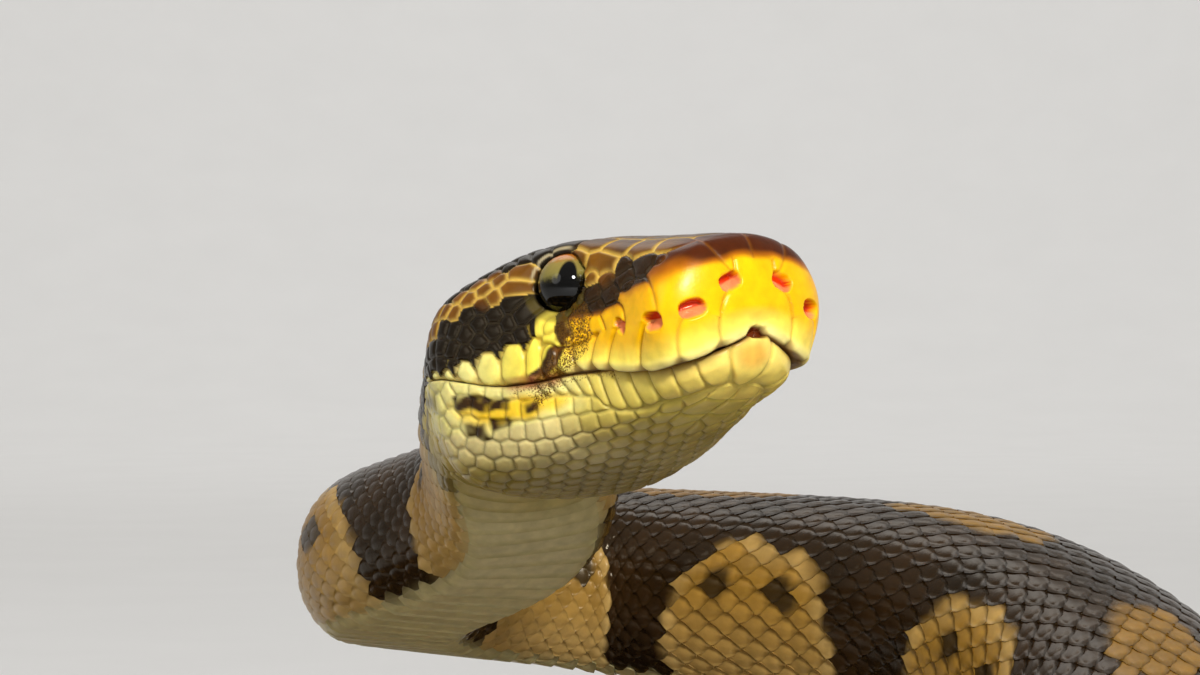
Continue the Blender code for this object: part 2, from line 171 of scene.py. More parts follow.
def head_point(back, share):
    """Side and up of the head's right half, at rows of distances and shares."""
    ys = [np.zeros_like(back)] + [
        smooth(back, k) for k in (CREST_Y, TEMPLE_Y, CHEEK_Y, LIP_Y, JAW_Y, KEEL_Y)]
    ys.append(np.zeros_like(back))
    zs = [smooth(back, k) for k in
          (TOP_Z, CREST_Z, TEMPLE_Z, CHEEK_Z, LIP_Z, JAW_Z, KEEL_Z, CHIN_Z)]
    wide, tall = cap(back, SNOUT_REACH), cap(back, SNOUT_DROP)
    below = cap(back, CHIN_REACH)
    meet = zs[LIP_LINE] * cap(back, CHIN_DROP)
    ys = [y * (wide if n <= LIP_LINE else below) for n, y in enumerate(ys)]
    zs = [z * tall if n <= LIP_LINE else z * below + (1 - below) * meet
          for n, z in enumerate(zs)]
    # One more line over each end lets the curve run evenly into the other half.
    ys = np.array([-ys[1]] + ys + [-ys[-2]])
    zs = np.array([zs[1]] + zs + [zs[-2]])
    line = np.clip(share, 0, 1) * 7
    i = np.clip(line.astype(int), 0, 6)
    u = line - i
    row = np.arange(len(back))

    def spline(p):
        return between(*(p[i + k, row] for k in range(4)), u)

    narrow = np.where(np.asarray(share) > LIP_SHARE + 1e-6, smooth(back, JAW_SHARE), 1.0)
    return np.maximum(spline(ys), 0.0) * narrow, spline(zs)


FORWARD = unit((math.cos(math.radians(HEAD_YAW)), math.sin(math.radians(HEAD_YAW)),
                math.tan(math.radians(HEAD_PITCH))))
LEFT = unit(np.cross((0, 0, 1), FORWARD))
UP = np.cross(FORWARD, LEFT)


def along(points):
    """The way along a line of points to each of them."""
    return np.concatenate(([0.0], np.cumsum(np.linalg.norm(np.diff(points, axis=0), axis=1))))


def evenly(points, step):
    """The same line with points a step apart."""
    s = along(points)
    places = np.linspace(0, s[-1], int(round(s[-1] / step)) + 1)
    return np.column_stack([np.interp(places, s, points[:, k]) for k in range(3)])


def relax(points, rounds):
    """The same line with its bends evened out."""
    points = points.copy()
    for _ in range(rounds):
        points[1:-1] = points[1:-1] * 0.5 + (points[2:] + points[:-2]) * 0.25
    return points


def belly_height(path):
    """How high the centre line lies over the belly."""
    s = along(path)
    return FLAT * HEIGHT_SHARE * smooth(s / s[-1], HALF_WIDTH)


def make_spine():
    """The centre line from the tail tip to the back of the head, 1 mm apart."""
    angle = np.arange(TAIL_ANGLE, TOP_ANGLE + 0.01, TURN_STEP)
    turn = np.radians(angle)
    radius = smooth(angle, RADIUS)
    radius += sum(height * np.cos(waves * turn + phase) for waves, height, phase in WOBBLE)
    coil = np.column_stack((radius * np.cos(turn) * STRETCH[0],
                            radius * np.sin(turn) * STRETCH[1], smooth(angle, LIFT)))
    end = SNOUT - HEAD_LENGTH * FORWARD
    end = end - np.array((0.0, 0.0, FLAT * HEIGHT_SHARE * HALF_WIDTH[-1][1]))
    # The neck's line begins on the coil and ends in line with the head.
    knots = np.vstack([coil[-30], coil[-1], np.array(LOOP), end - 3.0 * FORWARD, end,
                       end + 14.0 * FORWARD])
    neck = [between(*four, u) for four in zip(knots[:-3], knots[1:-2], knots[2:-1], knots[3:])
            for u in np.linspace(0, 1, KNOT_POINTS, endpoint=False)]
    path = evenly(np.vstack([coil[:-1], np.array(neck), end]), SPINE_STEP)
    path = relax(path, EASE_ROUNDS)
    path[:, 2] += belly_height(path)
    path = evenly(path, SPINE_STEP)
    on_floor = along(path) < ON_FLOOR
    path[on_floor, 2] = belly_height(path)[on_floor]
    return path


def frames(path):
    """Left and up at each point of the spine."""
    ahead = unit(np.gradient(path, axis=0))
    last = len(path) - 1
    turned = ease((np.arange(len(path)) - last + NECK_TURN) / NECK_TURN)[:, None]
    ahead = unit(ahead * (1 - turned) + FORWARD * turned)
    up = np.zeros_like(path)
    steep = len(path) - STEEP_NECK
    for n in range(len(path)):
        guide = np.array((0.0, 0.0, 1.0)) if n <= steep else up[n - 1]
        up[n] = unit(guide - guide.dot(ahead[n]) * ahead[n])
    side = np.cross(up[-1], ahead[-1])
    twist = math.atan2(UP.dot(side), UP.dot(up[-1]))
    for n in range(steep, len(path)):
        a = twist * float(ease((n - steep) / (last - steep)))
        up[n] = math.cos(a) * up[n] + math.sin(a) * np.cross(up[n], ahead[n])
    return np.cross(up, ahead), up


SPINE = make_spine()
SIDE, TALL = frames(SPINE)
BODY_LENGTH = len(SPINE) - 1.0
WHOLE = BODY_LENGTH + HEAD_LENGTH


def at(rows, s):
    """Rows read between their whole-millimetre places."""
    places = np.arange(len(rows))
    return np.column_stack([np.interp(s, places, rows[:, k]) for k in range(3)])


def surface(t, turn):
    """Points of the animal's outside, in mm, at distances from the tail tip and turns."""
    t, turn = np.broadcast_arrays(np.asarray(t, float), np.asarray(turn, float))
    shape = t.shape
    t, turn = t.ravel(), (turn.ravel() + 1.0) % 2.0 - 1.0
    share, sign = np.abs(turn), np.where(turn < 0, -1.0, 1.0)[:, None]
    out = np.empty((len(t), 3))
    head = t > BODY_LENGTH
    if head.any():
        back = np.maximum(WHOLE - t[head], 0.0)
        y, z = head_point(back, share[head])
        lean = SNOUT_LEAN * np.maximum(1.0 - back / LEAN_LENGTH, 0.0) ** 2
        out[head] = (SNOUT - (back - lean * z)[:, None] * FORWARD
                     - sign[head] * y[:, None] * LEFT + z[:, None] * UP)
    body = ~head
    if body.any():
        s, q = np.maximum(t[body], 0.0), share[body]
        half = smooth(s / BODY_LENGTH, HALF_WIDTH)
        tall = half * HEIGHT_SHARE
        wide, rise = np.sin(math.pi * q), np.cos(math.pi * q)
        wide = half * np.abs(wide) ** (2 / ROUND)
        rise = tall * np.copysign(np.abs(rise) ** (2 / ROUND), rise)
        rise = np.maximum(rise, -FLAT * tall)
        blend = smooth(s, ((BODY_LENGTH - HEAD_BLEND, 0.0), (BODY_LENGTH, 1.0)))
        y, z = head_point(np.full(len(s), HEAD_LENGTH), q)
        wide, rise = wide + (y - wide) * blend, rise + (z - rise) * blend
        p = (at(SPINE, s) - sign[body] * wide[:, None] * unit(at(SIDE, s))
             + rise[:, None] * unit(at(TALL, s)))
        p[:, 2] = np.maximum(p[:, 2], 0.0)
        out[body] = p
    return (out + COIL_CENTRE).reshape(shape + (3,))


def round_it(t, turn, step):
    """The way round the animal per turn, measured without crossing the mouth."""
    low, high = turn - step, turn + step
    above = np.abs(turn) < LIP_SHARE + 1e-6
    under = LIP_SHARE + 3e-6
    low = np.where(above, np.maximum(low, -LIP_SHARE),
                   np.where(turn > 0, np.maximum(low, under), low))
    high = np.where(above, np.minimum(high, LIP_SHARE),
                    np.where(turn < 0, np.minimum(high, -under), high))
    return (surface(t, high) - surface(t, low)) / (high - low)[..., None]


def outward(t, turn):
    """Unit directions out of the surface at the same places."""
    t, turn = np.broadcast_arrays(np.asarray(t, float), np.asarray(turn, float))
    lengthways = (surface(np.minimum(t + 0.3, WHOLE - 0.01), turn)
                  - surface(np.maximum(t - 0.3, 0.02), turn))
    return unit(np.cross(round_it(t, turn, 0.006), lengthways))


# ---------------------------------------------------------------- colours and patterns
def paint(code):
    """An sRGB hex colour as linear numbers."""
    parts = [int(code[k:k + 2], 16) / 255 for k in (1, 3, 5)]
    return np.array([c / 12.92 if c <= 0.04045 else ((c + 0.055) / 1.055) ** 2.4
                     for c in parts])


def mix(a, b, share):
    """Rows of a with a share of b in them."""
    share = np.asarray(share, float)[..., None]
    return a * (1 - share) + b * share


def ripple(p, size, phase=0.0):
    """A soft even noise from -1 to 1, about size mm from bump to bump."""
    k = 2 * math.pi / size
    x, y, z = (p[..., n] * k for n in range(3))
    a = np.sin(0.83 * x + 0.41 * y - 0.37 * z + phase + 1.3 * np.sin(0.51 * y + 0.3 * z))
    b = np.sin(-0.38 * x + 0.79 * y + 0.48 * z + 2.1 * phase + 1.7
               + 1.1 * np.sin(0.47 * z - 0.33 * x))
    c = np.sin(0.29 * x - 0.55 * y + 0.77 * z + 0.7 * phase + 4.2
               + 1.2 * np.sin(0.43 * x + 0.36 * y))
    return (a + b + c) / 3


def scatter(*numbers):
    """A fixed number from 0 to 1 for each row of whole numbers."""
    total = sum(np.asarray(n, float) * k for n, k in zip(numbers, (12.9898, 78.233, 37.719)))
    x = np.sin(total) * 43758.5453
    return x - np.floor(x)


# ---------------------------------------------------------------- the head's markings
# Lines across the head: (distance behind the snout, turn or height).
BROWN_EDGE_Z = ((0, 6.8), (1.0, 6.8), (1.5, 6.5), (2.1, 6.2), (3.3, 5.7), (4.4, 5.5),
                (5.9, 5.2), (7.2, 4.9), (9.1, 4.1), (11.5, 3.5), (14.0, 3.6), (18, 3.2))
LOREAL_TOP = ((4, 0.19), (6.5, 0.200), (9.5, 0.212), (10.6, 0.245), (12.2, 0.295),
              (14.7, 0.310), (18, 0.300))
BAND_TOP = ((17, 0.29), (21.3, 0.324), (25.6, 0.345), (29.0, 0.354), (32.3, 0.370),
            (36, 0.42), (44, 0.46), (60, 0.47))
BAND_BOTTOM = ((17, 0.385), (19, 0.395), (20.6, 0.405), (21.6, 0.435), (22.2, 0.445),
               (24.1, 0.462), (27.2, 0.482), (29.9, 0.508), (33.4, 0.543), (44, 0.56),
               (60, 0.60))
GOLD_TOP = ((14, 0.10), (18, 0.17), (21.3, 0.232), (27, 0.240), (30.5, 0.258), (33.8, 0.30),
            (44, 0.33), (60, 0.34))
LABIAL_TOP = ((0, 0.40), (3, 0.432), (6, 0.447), (10, 0.447), (13, 0.455), (15.5, 0.480),
              (18.5, 0.485), (20.0, 0.470), (21.2, 0.448), (22.2, 0.449), (24.1, 0.464),
              (27.2, 0.484), (29.9, 0.510), (33.4, 0.545), (44, 0.56))
# Marks on the head: (first, last place and blur, first, last turn and blur, strength).
SPECKLED = ((12.0, 25.0, 1.5, 0.575, 0.597, 0.012, 0.7),
            (17.5, 24.0, 2.0, 0.575, 0.640, 0.02, 0.4))
JAW_MARKS = ((25.2, 32.4, 0.7, 0.598, 0.625, 0.010, 1.0),
             (21.9, 23.3, 0.6, 0.619, 0.640, 0.012, 1.0),
             (25.4, 28.1, 0.8, 0.641, 0.666, 0.010, 1.0),
             (28.7, 31.4, 0.8, 0.646, 0.672, 0.010, 1.0),
             (36.0, 60.0, 3.0, 0.60, 0.625, 0.02, 0.8))
JAW_PALE = ((17.0, 44.0, 4.0, 0.3, 0.668, 0.02, 0.8),)
LIP_CORNER = ((19.0, 25.0, 2.0, 0.552, 0.588, 0.015, 0.8),)
# The bar under the eye: its turns, its place, how far its foot sweeps back, half widths.
BAR_START, BAR_SPAN, BAR_PLACE, BAR_SWEEP = 0.41, 0.13, 18.2, 2.3
BAR_HALF, BAR_FLARE = 0.65, 0.45
# Seams between the upper lip's shields: where they meet the lip and how far they lean.
UPPER_SEAMS = ((2.6, 1.6), (7.9, 2.8), (12.5, 2.4), (14.8, 1.6), (16.7, -0.6), (19.1, 0.2),
               (21.0, 0.4), (22.9, 0.5), (25.9, 0.15), (28.8, 0.1), (31.5, 0.2), (33.8, 0.2),
               (36.5, 0.2))
# The lower lip's: their places, how deep its shields are and how far their seams lean.
LOWER_SEAMS = (8.8, 12.8, 16.7, 19.6, 21.9, 24.0, 26.2, 28.4, 30.4, 32.3, 34.1)
LOWER_DEPTH = ((0, 1.6), (3.5, 2.2), (6, 2.6), (8.7, 3.1), (11, 3.75), (12.6, 4.0), (14.2, 3.8),
               (15.2, 2.6), (17.7, 2.2), (20, 1.8), (24, 1.7))
LOWER_LEAN = ((0, 0.5), (3, 0.7), (6, 0.8), (9, 0.7), (11, 0.6), (13, 0.47), (14.6, 0.36),
              (16, 0.8), (18, 1.0))
# Half widths of the middle shields of the two lips, by height, and where they end.
ROSTRAL_HALF = ((-3.0, 4.4), (-1.6, 4.2), (0.5, 4.5), (2.0, 4.4), (3.2, 4.0), (4.2, 3.2),
                (5.3, 2.5), (6.9, 2.5))
ROSTRAL_TOP, MENTAL_BOTTOM = 7.2, -5.3
MENTAL_HALF = ((-5.3, 0.4), (-4.8, 1.1), (-3.7, 1.95), (-2.6, 2.4))
MOUTH_CORNER = 25.0
BLUR = 0.02                              # softness of the markings' edges, in turn
LIP_TUCK, LIP_TUCK_SHARE = 0.6, 0.035    # how far the lower lip stands up, and over what share

YELLOW, DEEP_YELLOW = paint("#FABC04"), paint("#F0A004")
PALE_YELLOW, CREAM = paint("#FCE460"), paint("#FBEB98")
ORANGE_BROWN, RED_BROWN = paint("#A85C06"), paint("#481A02")
DARK_BROWN, NEAR_BLACK = paint("#2A1704"), paint("#120A03")
GOLD_BROWN, GOLD_PALE, GOLD_EDGE = paint("#482803"), paint("#7C4E0A"), paint("#DDB552")
STRIPE_BROWN, BAND_EDGE = paint("#6A3E08"), paint("#322816")
LABIAL_YELLOW, LABIAL_PALE = paint("#F0DC50"), paint("#EAE08A")
# The throat's two darker olives are its cream with painted shade under the jaw.
OLIVE_CREAM, SHADED_THROAT, PAINTED_THROAT_SHADE = paint("#D0BB58"), paint("#B09C54"), paint("#7E6E34")
THROAT_PALE = paint("#DCCC90")
CHIN_GOLD, CHEEK_GOLD, CHIN_PEACH = paint("#F6DA6C"), paint("#EFC52C"), paint("#E4A63C")
MARK_BROWN, SPECKLE_BROWN = paint("#301A02"), paint("#5A3A08")
SEAM_BROWN, CORNER_PINK = paint("#A86414"), paint("#A8604A")
# The pits' darker red roofs are painted shade over their pink lining.
PIT_ROOF_SHADE, PIT_FLOOR = paint("#C82C04"), paint("#EC8A58")
# The mouth's dark red-brown, also painted as shade along the lips, in their gaps and in the
# notch.
MOUTH_AND_SHADE_DARK = paint("#5E240A")
# The near-black at the edge of the eyes' sockets is painted shade.
# The pale crescent on the brow's edge is a painted highlight.
SOCKET_SHADE, SOCKET_OLIVE, BROW_HIGHLIGHT = paint("#0E0A06"), paint("#5E5018"), paint("#C8B890")
TAN, PALE_TAN, BODY_DARK = paint("#97702A"), paint("#C2A060"), paint("#1C1208")
BACK_BROWN, BELLY = paint("#6E4A18"), paint("#CDBF88")
GROUND_BROWN, EDGE_BROWN = paint("#33210F"), paint("#3A2A14")


def band(value, low, high, soft):
    """1 between two limits and 0 outside, with edges of the given softness."""
    return ease((value - low) / soft, -0.5, 0.5) * ease((high - value) / soft, -0.5, 0.5)


def marked(back, turn, table):
    """How strongly the marks of a table cover places on the head."""
    cover = np.zeros(len(back))
    for first, last, blur, low, high, soft, strength in table:
        mark = band(back, first, last, blur) * band(turn, low, high, soft)
        cover = np.maximum(cover, strength * mark)
    return cover


def lip_height(back):
    """The height of the line of the lips, upwards from the head's own axis."""
    return smooth(back, LIP_Z) * cap(back, SNOUT_DROP)


def snout_paint(tint, back, over):
    """Brown runs over the top of the snout and softly into the yellow."""
    width = 0.6 + 0.8 * ease(back, 1.2, 3.0) * fade(back, 8.0, 12.0)
    tint = mix(tint, ORANGE_BROWN, ease(over / width, -0.9, 0.5))
    return mix(tint, RED_BROWN, ease(over / width, 0.1, 1.5) * (1 - 0.25 * ease(back, 6, 12)))


def jaw_paint(back, q, y, z, p):
    """The lower jaw: cream, olive below as painted shade, yellow round the corner of the mouth.
    """
    under = lip_height(back) - z
    # Painted shade: darker olive further below the lips and under the chin, paler again at the
    # back.
    jaw = mix(mix(CHIN_GOLD, OLIVE_CREAM, ease(back, 2.5, 9.0)), SHADED_THROAT, ease(under, 3.0, 7.0))
    under = under + 0.6 * ripple(p, 8.0)
    jaw = mix(jaw, PAINTED_THROAT_SHADE, 0.75 * ease(under, 5.5, 10.0) * fade(back, 28.0, 40.0))
    jaw = mix(jaw, THROAT_PALE, 0.7 * band(back, 19.0, 38.0, 6.0) * fade(under, 6.5, 10.0))
    tip = np.hypot((y - 0.6) / 2.4, (z + 2.3) / 1.5)
    jaw = mix(jaw, CHIN_PEACH, 0.8 * fade(tip, 0.3, 1.2))
    jaw = mix(jaw, LABIAL_PALE, marked(back, q, JAW_PALE))
    patch = np.hypot((back - 25.2) / 8.5, (q - 0.628) / 0.036)
    jaw = mix(jaw, CHEEK_GOLD, fade(patch + 0.12 * ripple(p, 3.0), 0.45, 1.15))
    marks = marked(back, q, JAW_MARKS) * (0.95 + 0.30 * ripple(p, 1.7))
    return mix(jaw, MARK_BROWN, np.clip(marks, 0, 1))


def head_paint(back, turn, y, z, p):
    """Colour of the scales' middles, the colour of their edges and how much it shows."""
    q = np.abs(turn)
    q = q + (0.006 * ripple(p, 5.0) + 0.004 * ripple(p, 2.3, 1.0)) * ease(back, 2.0, 6.0)
    # The yellow snout pales down to the lips.
    lip = z - lip_height(back)
    tint = mix(mix(CREAM, PALE_YELLOW, ease(lip, 0.0, 1.4)), YELLOW, ease(lip, 0.7, 3.6))
    tint = mix(tint, DEEP_YELLOW, 0.55 * ease(z, 2.5, 6.0) * ease(back, 0.8, 3.0))
    edge_z = smooth(back, BROWN_EDGE_Z) + 0.6 * fade(np.abs(y), 2.4, 4.6) * (back < 4.0)
    over = z - edge_z + 0.25 * ripple(p, 4.0, 2.0)
    tint = snout_paint(tint, back, over)
    # The dark band from the side of the snout back to the eye.
    loreal_top = smooth(back, LOREAL_TOP)
    loreal = band(q, loreal_top, 9.0, BLUR) * ease(over, -0.2, 0.5)
    loreal *= ease(back, 3.6, 5.4) * fade(back, 18, 20)
    tint = mix(tint, DARK_BROWN, loreal)
    # The crown: golden before the eyes, black behind them.
    golden = fade((q - loreal_top) / BLUR, -0.5, 0.5) * ease(over, 0.3, 1.2)
    golden *= ease(back, 3.4, 5.6) * fade(back, 17, 20.5)
    warm = mix(GOLD_BROWN, GOLD_PALE, ease(q + 0.05 * ripple(p, 7.0), 0.10, 0.24))
    tint = mix(tint, warm, golden)
    behind = ease(back, 16.5, 19.5) * (q < LIP_SHARE)
    gold_top = smooth(back, GOLD_TOP)
    top, bottom = smooth(back, BAND_TOP), smooth(back, BAND_BOTTOM)
    crown = behind * fade((q - gold_top) / BLUR, -0.5, 0.5)
    stripe = behind * band(q, gold_top, top, BLUR)
    streak = behind * band(q, top, bottom, BLUR / 2)
    pale = behind * ease((q - bottom) / (BLUR / 2), -0.5, 0.5)
    tint = mix(tint, NEAR_BLACK, crown)
    tint = mix(tint, mix(STRIPE_BROWN, GOLD_PALE, 0.35 + 0.35 * ripple(p, 6.0, 4.0)), stripe)
    tint = mix(tint, NEAR_BLACK, streak)
    tint = mix(tint, mix(LABIAL_YELLOW, LABIAL_PALE, ease(back, 22, 31)), pale)
    # Under the eye a brown bar and speckles.
    down = np.clip((q - BAR_START) / BAR_SPAN, 0.0, 1.2)
    bar_mid = BAR_PLACE + BAR_SWEEP * down ** 3 + 0.30 * ripple(p, 1.8)
    bar_half = BAR_HALF + BAR_FLARE * down ** 2
    bar = band(back, bar_mid - bar_half, bar_mid + bar_half, 0.45) * band(q, 0.400, 0.558, BLUR)
    tint = mix(tint, MARK_BROWN, bar)
    speckle = band(back, 14.2, bar_mid + 0.4, 1.4) * ease(q, 0.385, 0.405)
    speckle *= fade(q - 0.018 * (back - 15.0), 0.500, 0.535)
    speckle = np.maximum(speckle, marked(back, q, SPECKLED))
    low = ease((q - LIP_SHARE) / 0.012, -0.5, 0.5)
    tint = mix(tint, jaw_paint(back, q, y, z, p), low)
    corner = marked(back, q, LIP_CORNER) * (0.8 + 0.4 * ripple(p, 2.0))
    tint = mix(tint, CORNER_PINK, corner)
    # Edges: gold on the crown and the stripe, brown in the dark band, dull in the yellow.
    gilded = np.clip(golden + stripe, 0, 1)
    dark = np.clip(streak + loreal + crown, 0, 1)
    edge = mix(mix(tint * 0.55, SEAM_BROWN, 0.5), tint * 0.5, low)
    edge = mix(mix(edge, GOLD_EDGE, gilded), BAND_EDGE, dark)
    edge_share = np.clip(0.62 + 0.35 * gilded - 0.1 * dark, 0, 1)
    gloss = np.clip(loreal + streak + 0.5 * crown, 0, 1)
    return tint, edge, edge_share, speckle, gloss


# ---------------------------------------------------------------- the body's markings
NEAR_HEAD = 62.0                         # the head's markings reach this far back
# Blotches on the flanks and a broken stripe on the back repeat along the body, in mm.
BLOTCH_PITCH, BLOTCH_HALF, BLOTCH_VARIES = 44.0, 13.0, 4.5
LEFT_SHIFT = 19.0                        # the left flank's blotches lie between the right's
STRIPE_PITCH, STRIPE_HALF, STRIPE_VARIES, STRIPE_SHIFT = 37.0, 9.0, 7.0, 9.0


def repeats(slide, pitch):
    """Which repeat of a pattern a place lies in, and how far it is from its middle."""
    n = np.floor(slide / pitch)
    return n, (slide / pitch - n - 0.5) * pitch


def body_paint(t, turn, p):
    """Colour at a place on the body, from the neck to the tail tip."""
    behind = BODY_LENGTH - t
    q, side = np.abs(turn), np.where(turn < 0, 1.0, 0.0)
    n, x = repeats(behind + side * LEFT_SHIFT + 3.0 * ripple(p, 60.0), BLOTCH_PITCH)
    r = scatter(n, side)
    x = x / (BLOTCH_HALF + BLOTCH_VARIES * r)
    reach = 0.50 + 0.09 * scatter(n, side + 3.0)
    down = (0.80 - q) / reach
    lobe = 1 - np.abs(x) ** 2.3 - np.clip(down, 0, 9) ** 3.2
    lobe += 0.16 * ripple(p, 9.0) + 0.10 * ripple(p, 4.0, 2.0)
    gold = ease(lobe, -0.06, 0.10)
    spots = 1 - (((np.abs(x) - 0.36) / 0.20) ** 2 + ((q - 0.43 - 0.03 * r) / 0.055) ** 2)
    spots = ease(spots + 0.35 * ripple(p, 5.0, 1.0), 0.0, 0.4) * (scatter(n, side + 7.0) < 0.75)
    rim = gold * fade(lobe, 0.10, 0.42)
    tint = mix(TAN, PALE_TAN, np.clip(0.75 * ease(q, 0.42, 0.78) + 0.55 * rim, 0, 1))
    tint = mix(tint, BODY_DARK, 0.9 * spots * ease(lobe, 0.15, 0.3))
    dark = mix(BODY_DARK, GROUND_BROWN, 0.5 + 0.5 * ripple(p, 14.0))
    tint = mix(dark, tint, gold)
    n, x = repeats(behind + STRIPE_SHIFT + 4.0 * ripple(p, 80.0, 3.0), STRIPE_PITCH)
    x = x / (STRIPE_HALF + STRIPE_VARIES * scatter(n, 5.0))
    saddle = 1 - x * x - ((turn - 0.02 * ripple(p, 40.0)) / (0.075 + 0.03 * scatter(n, 9.0))) ** 2
    saddle = ease(saddle + 0.3 * ripple(p, 6.0), 0.0, 0.25)
    tint = mix(tint, mix(BACK_BROWN, TAN, 0.4 + 0.6 * scatter(n, 2.0)), saddle * (1 - gold))
    gold = np.maximum(gold, saddle)
    # The lower flank fades into the belly.
    belly = ease(q + 0.015 * ripple(p, 7.0), 0.735, 0.80)
    return mix(tint, BELLY, belly), np.maximum(gold, belly)


def animal_paint(t, turn, p):
    """Markings anywhere on the animal, as colour, edge colour, edge share, speckle, gloss.

    The noise and the head's heights come from p, so t and turn may be a scale's middle.
    """
    back = WHOLE - t
    near = back < NEAR_HEAD
    tint, light = body_paint(t, turn, p)
    edge = mix(tint * 0.5 + EDGE_BROWN * 0.5, tint * 0.72, light)
    share = np.full(t.shape, 0.6)
    speckle, gloss = np.zeros(t.shape), 1 - light
    if near.any():
        local = p[near] - COIL_CENTRE - SNOUT
        on_head = head_paint(back[near], turn[near], -local @ LEFT, local @ UP, p[near])
        blend = ease(back[near] + 3.0 * ripple(p[near], 9.0), 46.0, 58.0)
        for values, here in zip((tint, edge, share, speckle, gloss), on_head):
            part = blend[:, None] if values.ndim > 1 else blend
            values[near] = here * (1 - part) + values[near] * part
    return tint, edge, share, speckle, gloss


# ---------------------------------------------------------------- the head's shields
# Shields of the right side: (behind the snout, turn, half length, half width, lean).
# The lean turns the long way of a shield down towards the back, in degrees.
SHIELDS = (
    (2.7, 0.270, 2.3, 2.6, 0), (6.4, 0.375, 2.3, 1.6, 0), (10.6, 0.412, 1.6, 0.85, 0),
    (13.4, 0.430, 1.1, 0.75, 0),
    (2.4, 0.055, 2.1, 1.5, 0), (5.9, 0.045, 2.1, 1.5, 0), (5.3, 0.148, 1.7, 1.35, 0),
    (8.3, 0.160, 2.0, 1.4, 8), (9.4, 0.050, 2.1, 1.4, 0), (11.9, 0.155, 2.2, 1.35, 6),
    (12.9, 0.238, 2.3, 1.3, 0), (13.0, 0.050, 2.1, 1.4, 0), (15.7, 0.150, 2.2, 1.3, 0),
    (16.6, 0.045, 2.1, 1.3, 0), (19.4, 0.150, 2.0, 1.2, 0), (20.0, 0.050, 2.0, 1.2, 0),
    (17.0, 0.215, 1.7, 0.9, 10),
    (6.8, 0.238, 1.6, 1.15, 0), (4.7, 0.222, 0.8, 0.7, 0), (10.0, 0.247, 1.15, 0.95, 0),
    (9.2, 0.293, 1.2, 0.95, 0), (12.2, 0.297, 1.0, 0.85, 0), (14.3, 0.292, 0.8, 0.7, 0),
    (11.3, 0.350, 1.0, 0.8, 0), (13.9, 0.340, 0.85, 0.75, 0), (13.3, 0.380, 0.9, 0.65, 0),
    (8.6, 0.318, 0.8, 0.6, 0), (15.6, 0.420, 0.8, 0.7, 0), (15.5, 0.455, 0.9, 0.7, 0),
    (17.4, 0.462, 0.8, 0.65, 0), (19.9, 0.430, 0.95, 0.9, 0),
)
CHIN_SHIELDS = (
    (3.6, 0.93, 2.2, 1.2, 0), (5.4, 0.80, 2.4, 1.0, -20), (8.0, 0.93, 2.6, 1.3, 0),
    (8.8, 0.82, 2.2, 1.0, -15),
)
EYE_TURN = 0.308                         # the turn that the eye's middle lies at
SOCKET_UP, SOCKET_AHEAD = 0.30, 0.20     # how the eye's opening leans from sideways
# The little scales round the eye: how far round and out they lie, and their half sizes.
RING_RADIUS, RING_COUNT, RING_OUT, RING_HALVES = 3.95, 14, 0.6, (0.95, 0.62)
BROW_SINE = 0.62                         # above this the brow shield covers the ring
GAZE_UP, GAZE_AHEAD = 0.10, 1.2          # where the eye looks, against straight sideways
EYE_SEGMENTS, EYE_RINGS = 64, 32
EYE_CLEARANCE = 0.02                     # the ball is this much smaller than its socket
UPPER_ROWS = (16.0, 49.0, 3.5, 0.95)     # first and last place, length and row spacing
LOWER_ROWS = (3.0, 49.0, 4.0, 1.10)
SPREAD = 1.45                            # a scale's half width, in row spacings
JITTER = 0.09                            # how far the scales stray from their rows, mm
# The nostril and three heat pits: behind the snout, turn, half width, half height, depth
# and tilt of the outer end.
PITS = (
    (0.47, 0.150, 1.30, 0.90, 1.1, -25), (1.10, 0.402, 1.40, 0.95, 1.2, -14),
    (4.15, 0.450, 1.25, 0.98, 1.2, 0), (9.4, 0.445, 0.92, 0.66, 1.0, 40),
)
PIT_NEAR, PIT_FLAT = 4.0, 2.5            # how far round and out a pit reaches at most
HEAD_END = 48.0                          # the head's two shells reach this far back
FAR = 9.0                                # stands for an edge that is nowhere near
LABIAL_END, INFRALABIAL_END = 40.0, 24.0    # where the rows of the lips' shields end


def place(back, turn):
    """Points of the animal's outside at distances behind the snout and turns."""
    return surface(WHOLE - np.asarray(back, float), turn)


HEAD_ARCS, BODY_ARCS = 181, 241          # places on such a way round


def arc_table(t, count):
    """Turns, and the way round the right half from the back to each, at one distance."""
    turns = np.linspace(0.0, 1.0, count)
    return turns, along(surface(np.full(count, t), turns))


def lattice(first, last, length, pitch, upper, dice):
    """Staggered rows of scales; each is behind, turn, half length, half width, lean."""
    rows, n, back = [], 0, first
    while back < last:
        turns, arcs = arc_table(WHOLE - back, HEAD_ARCS)
        grown = 1.0 + 0.012 * max(back - 30.0, 0.0)
        step = pitch * grown
        total = arcs[-1]
        k = n % 2
        while k * step <= total:
            arc = k * step if upper else total - k * step
            turn = float(np.interp(arc, arcs, turns))
            jitter = dice.normal(0.0, JITTER, 2)
            if upper == (turn < LIP_SHARE):
                turn += jitter[1] / total * (k > 0)
                rows.append((back + jitter[0] * 1.3, turn, length * 0.5, step * SPREAD, 0.0))
            k += 2
        back += length * 0.5 * grown
        n += 1
    return rows


def eye_frame(side):
    """An eye's centre in mm and its outward, backward and upward directions."""
    centre = (SNOUT - EYE_BACK * FORWARD - side * EYE_SIDE * LEFT + EYE_UP * UP
              + COIL_CENTRE)
    out = unit(-side * LEFT + SOCKET_UP * UP + SOCKET_AHEAD * FORWARD)
    back = unit(-FORWARD - (-FORWARD).dot(out) * out)
    up = np.cross(out, back) * side
    return centre, out, back, (up if up.dot(UP) > 0 else -up)


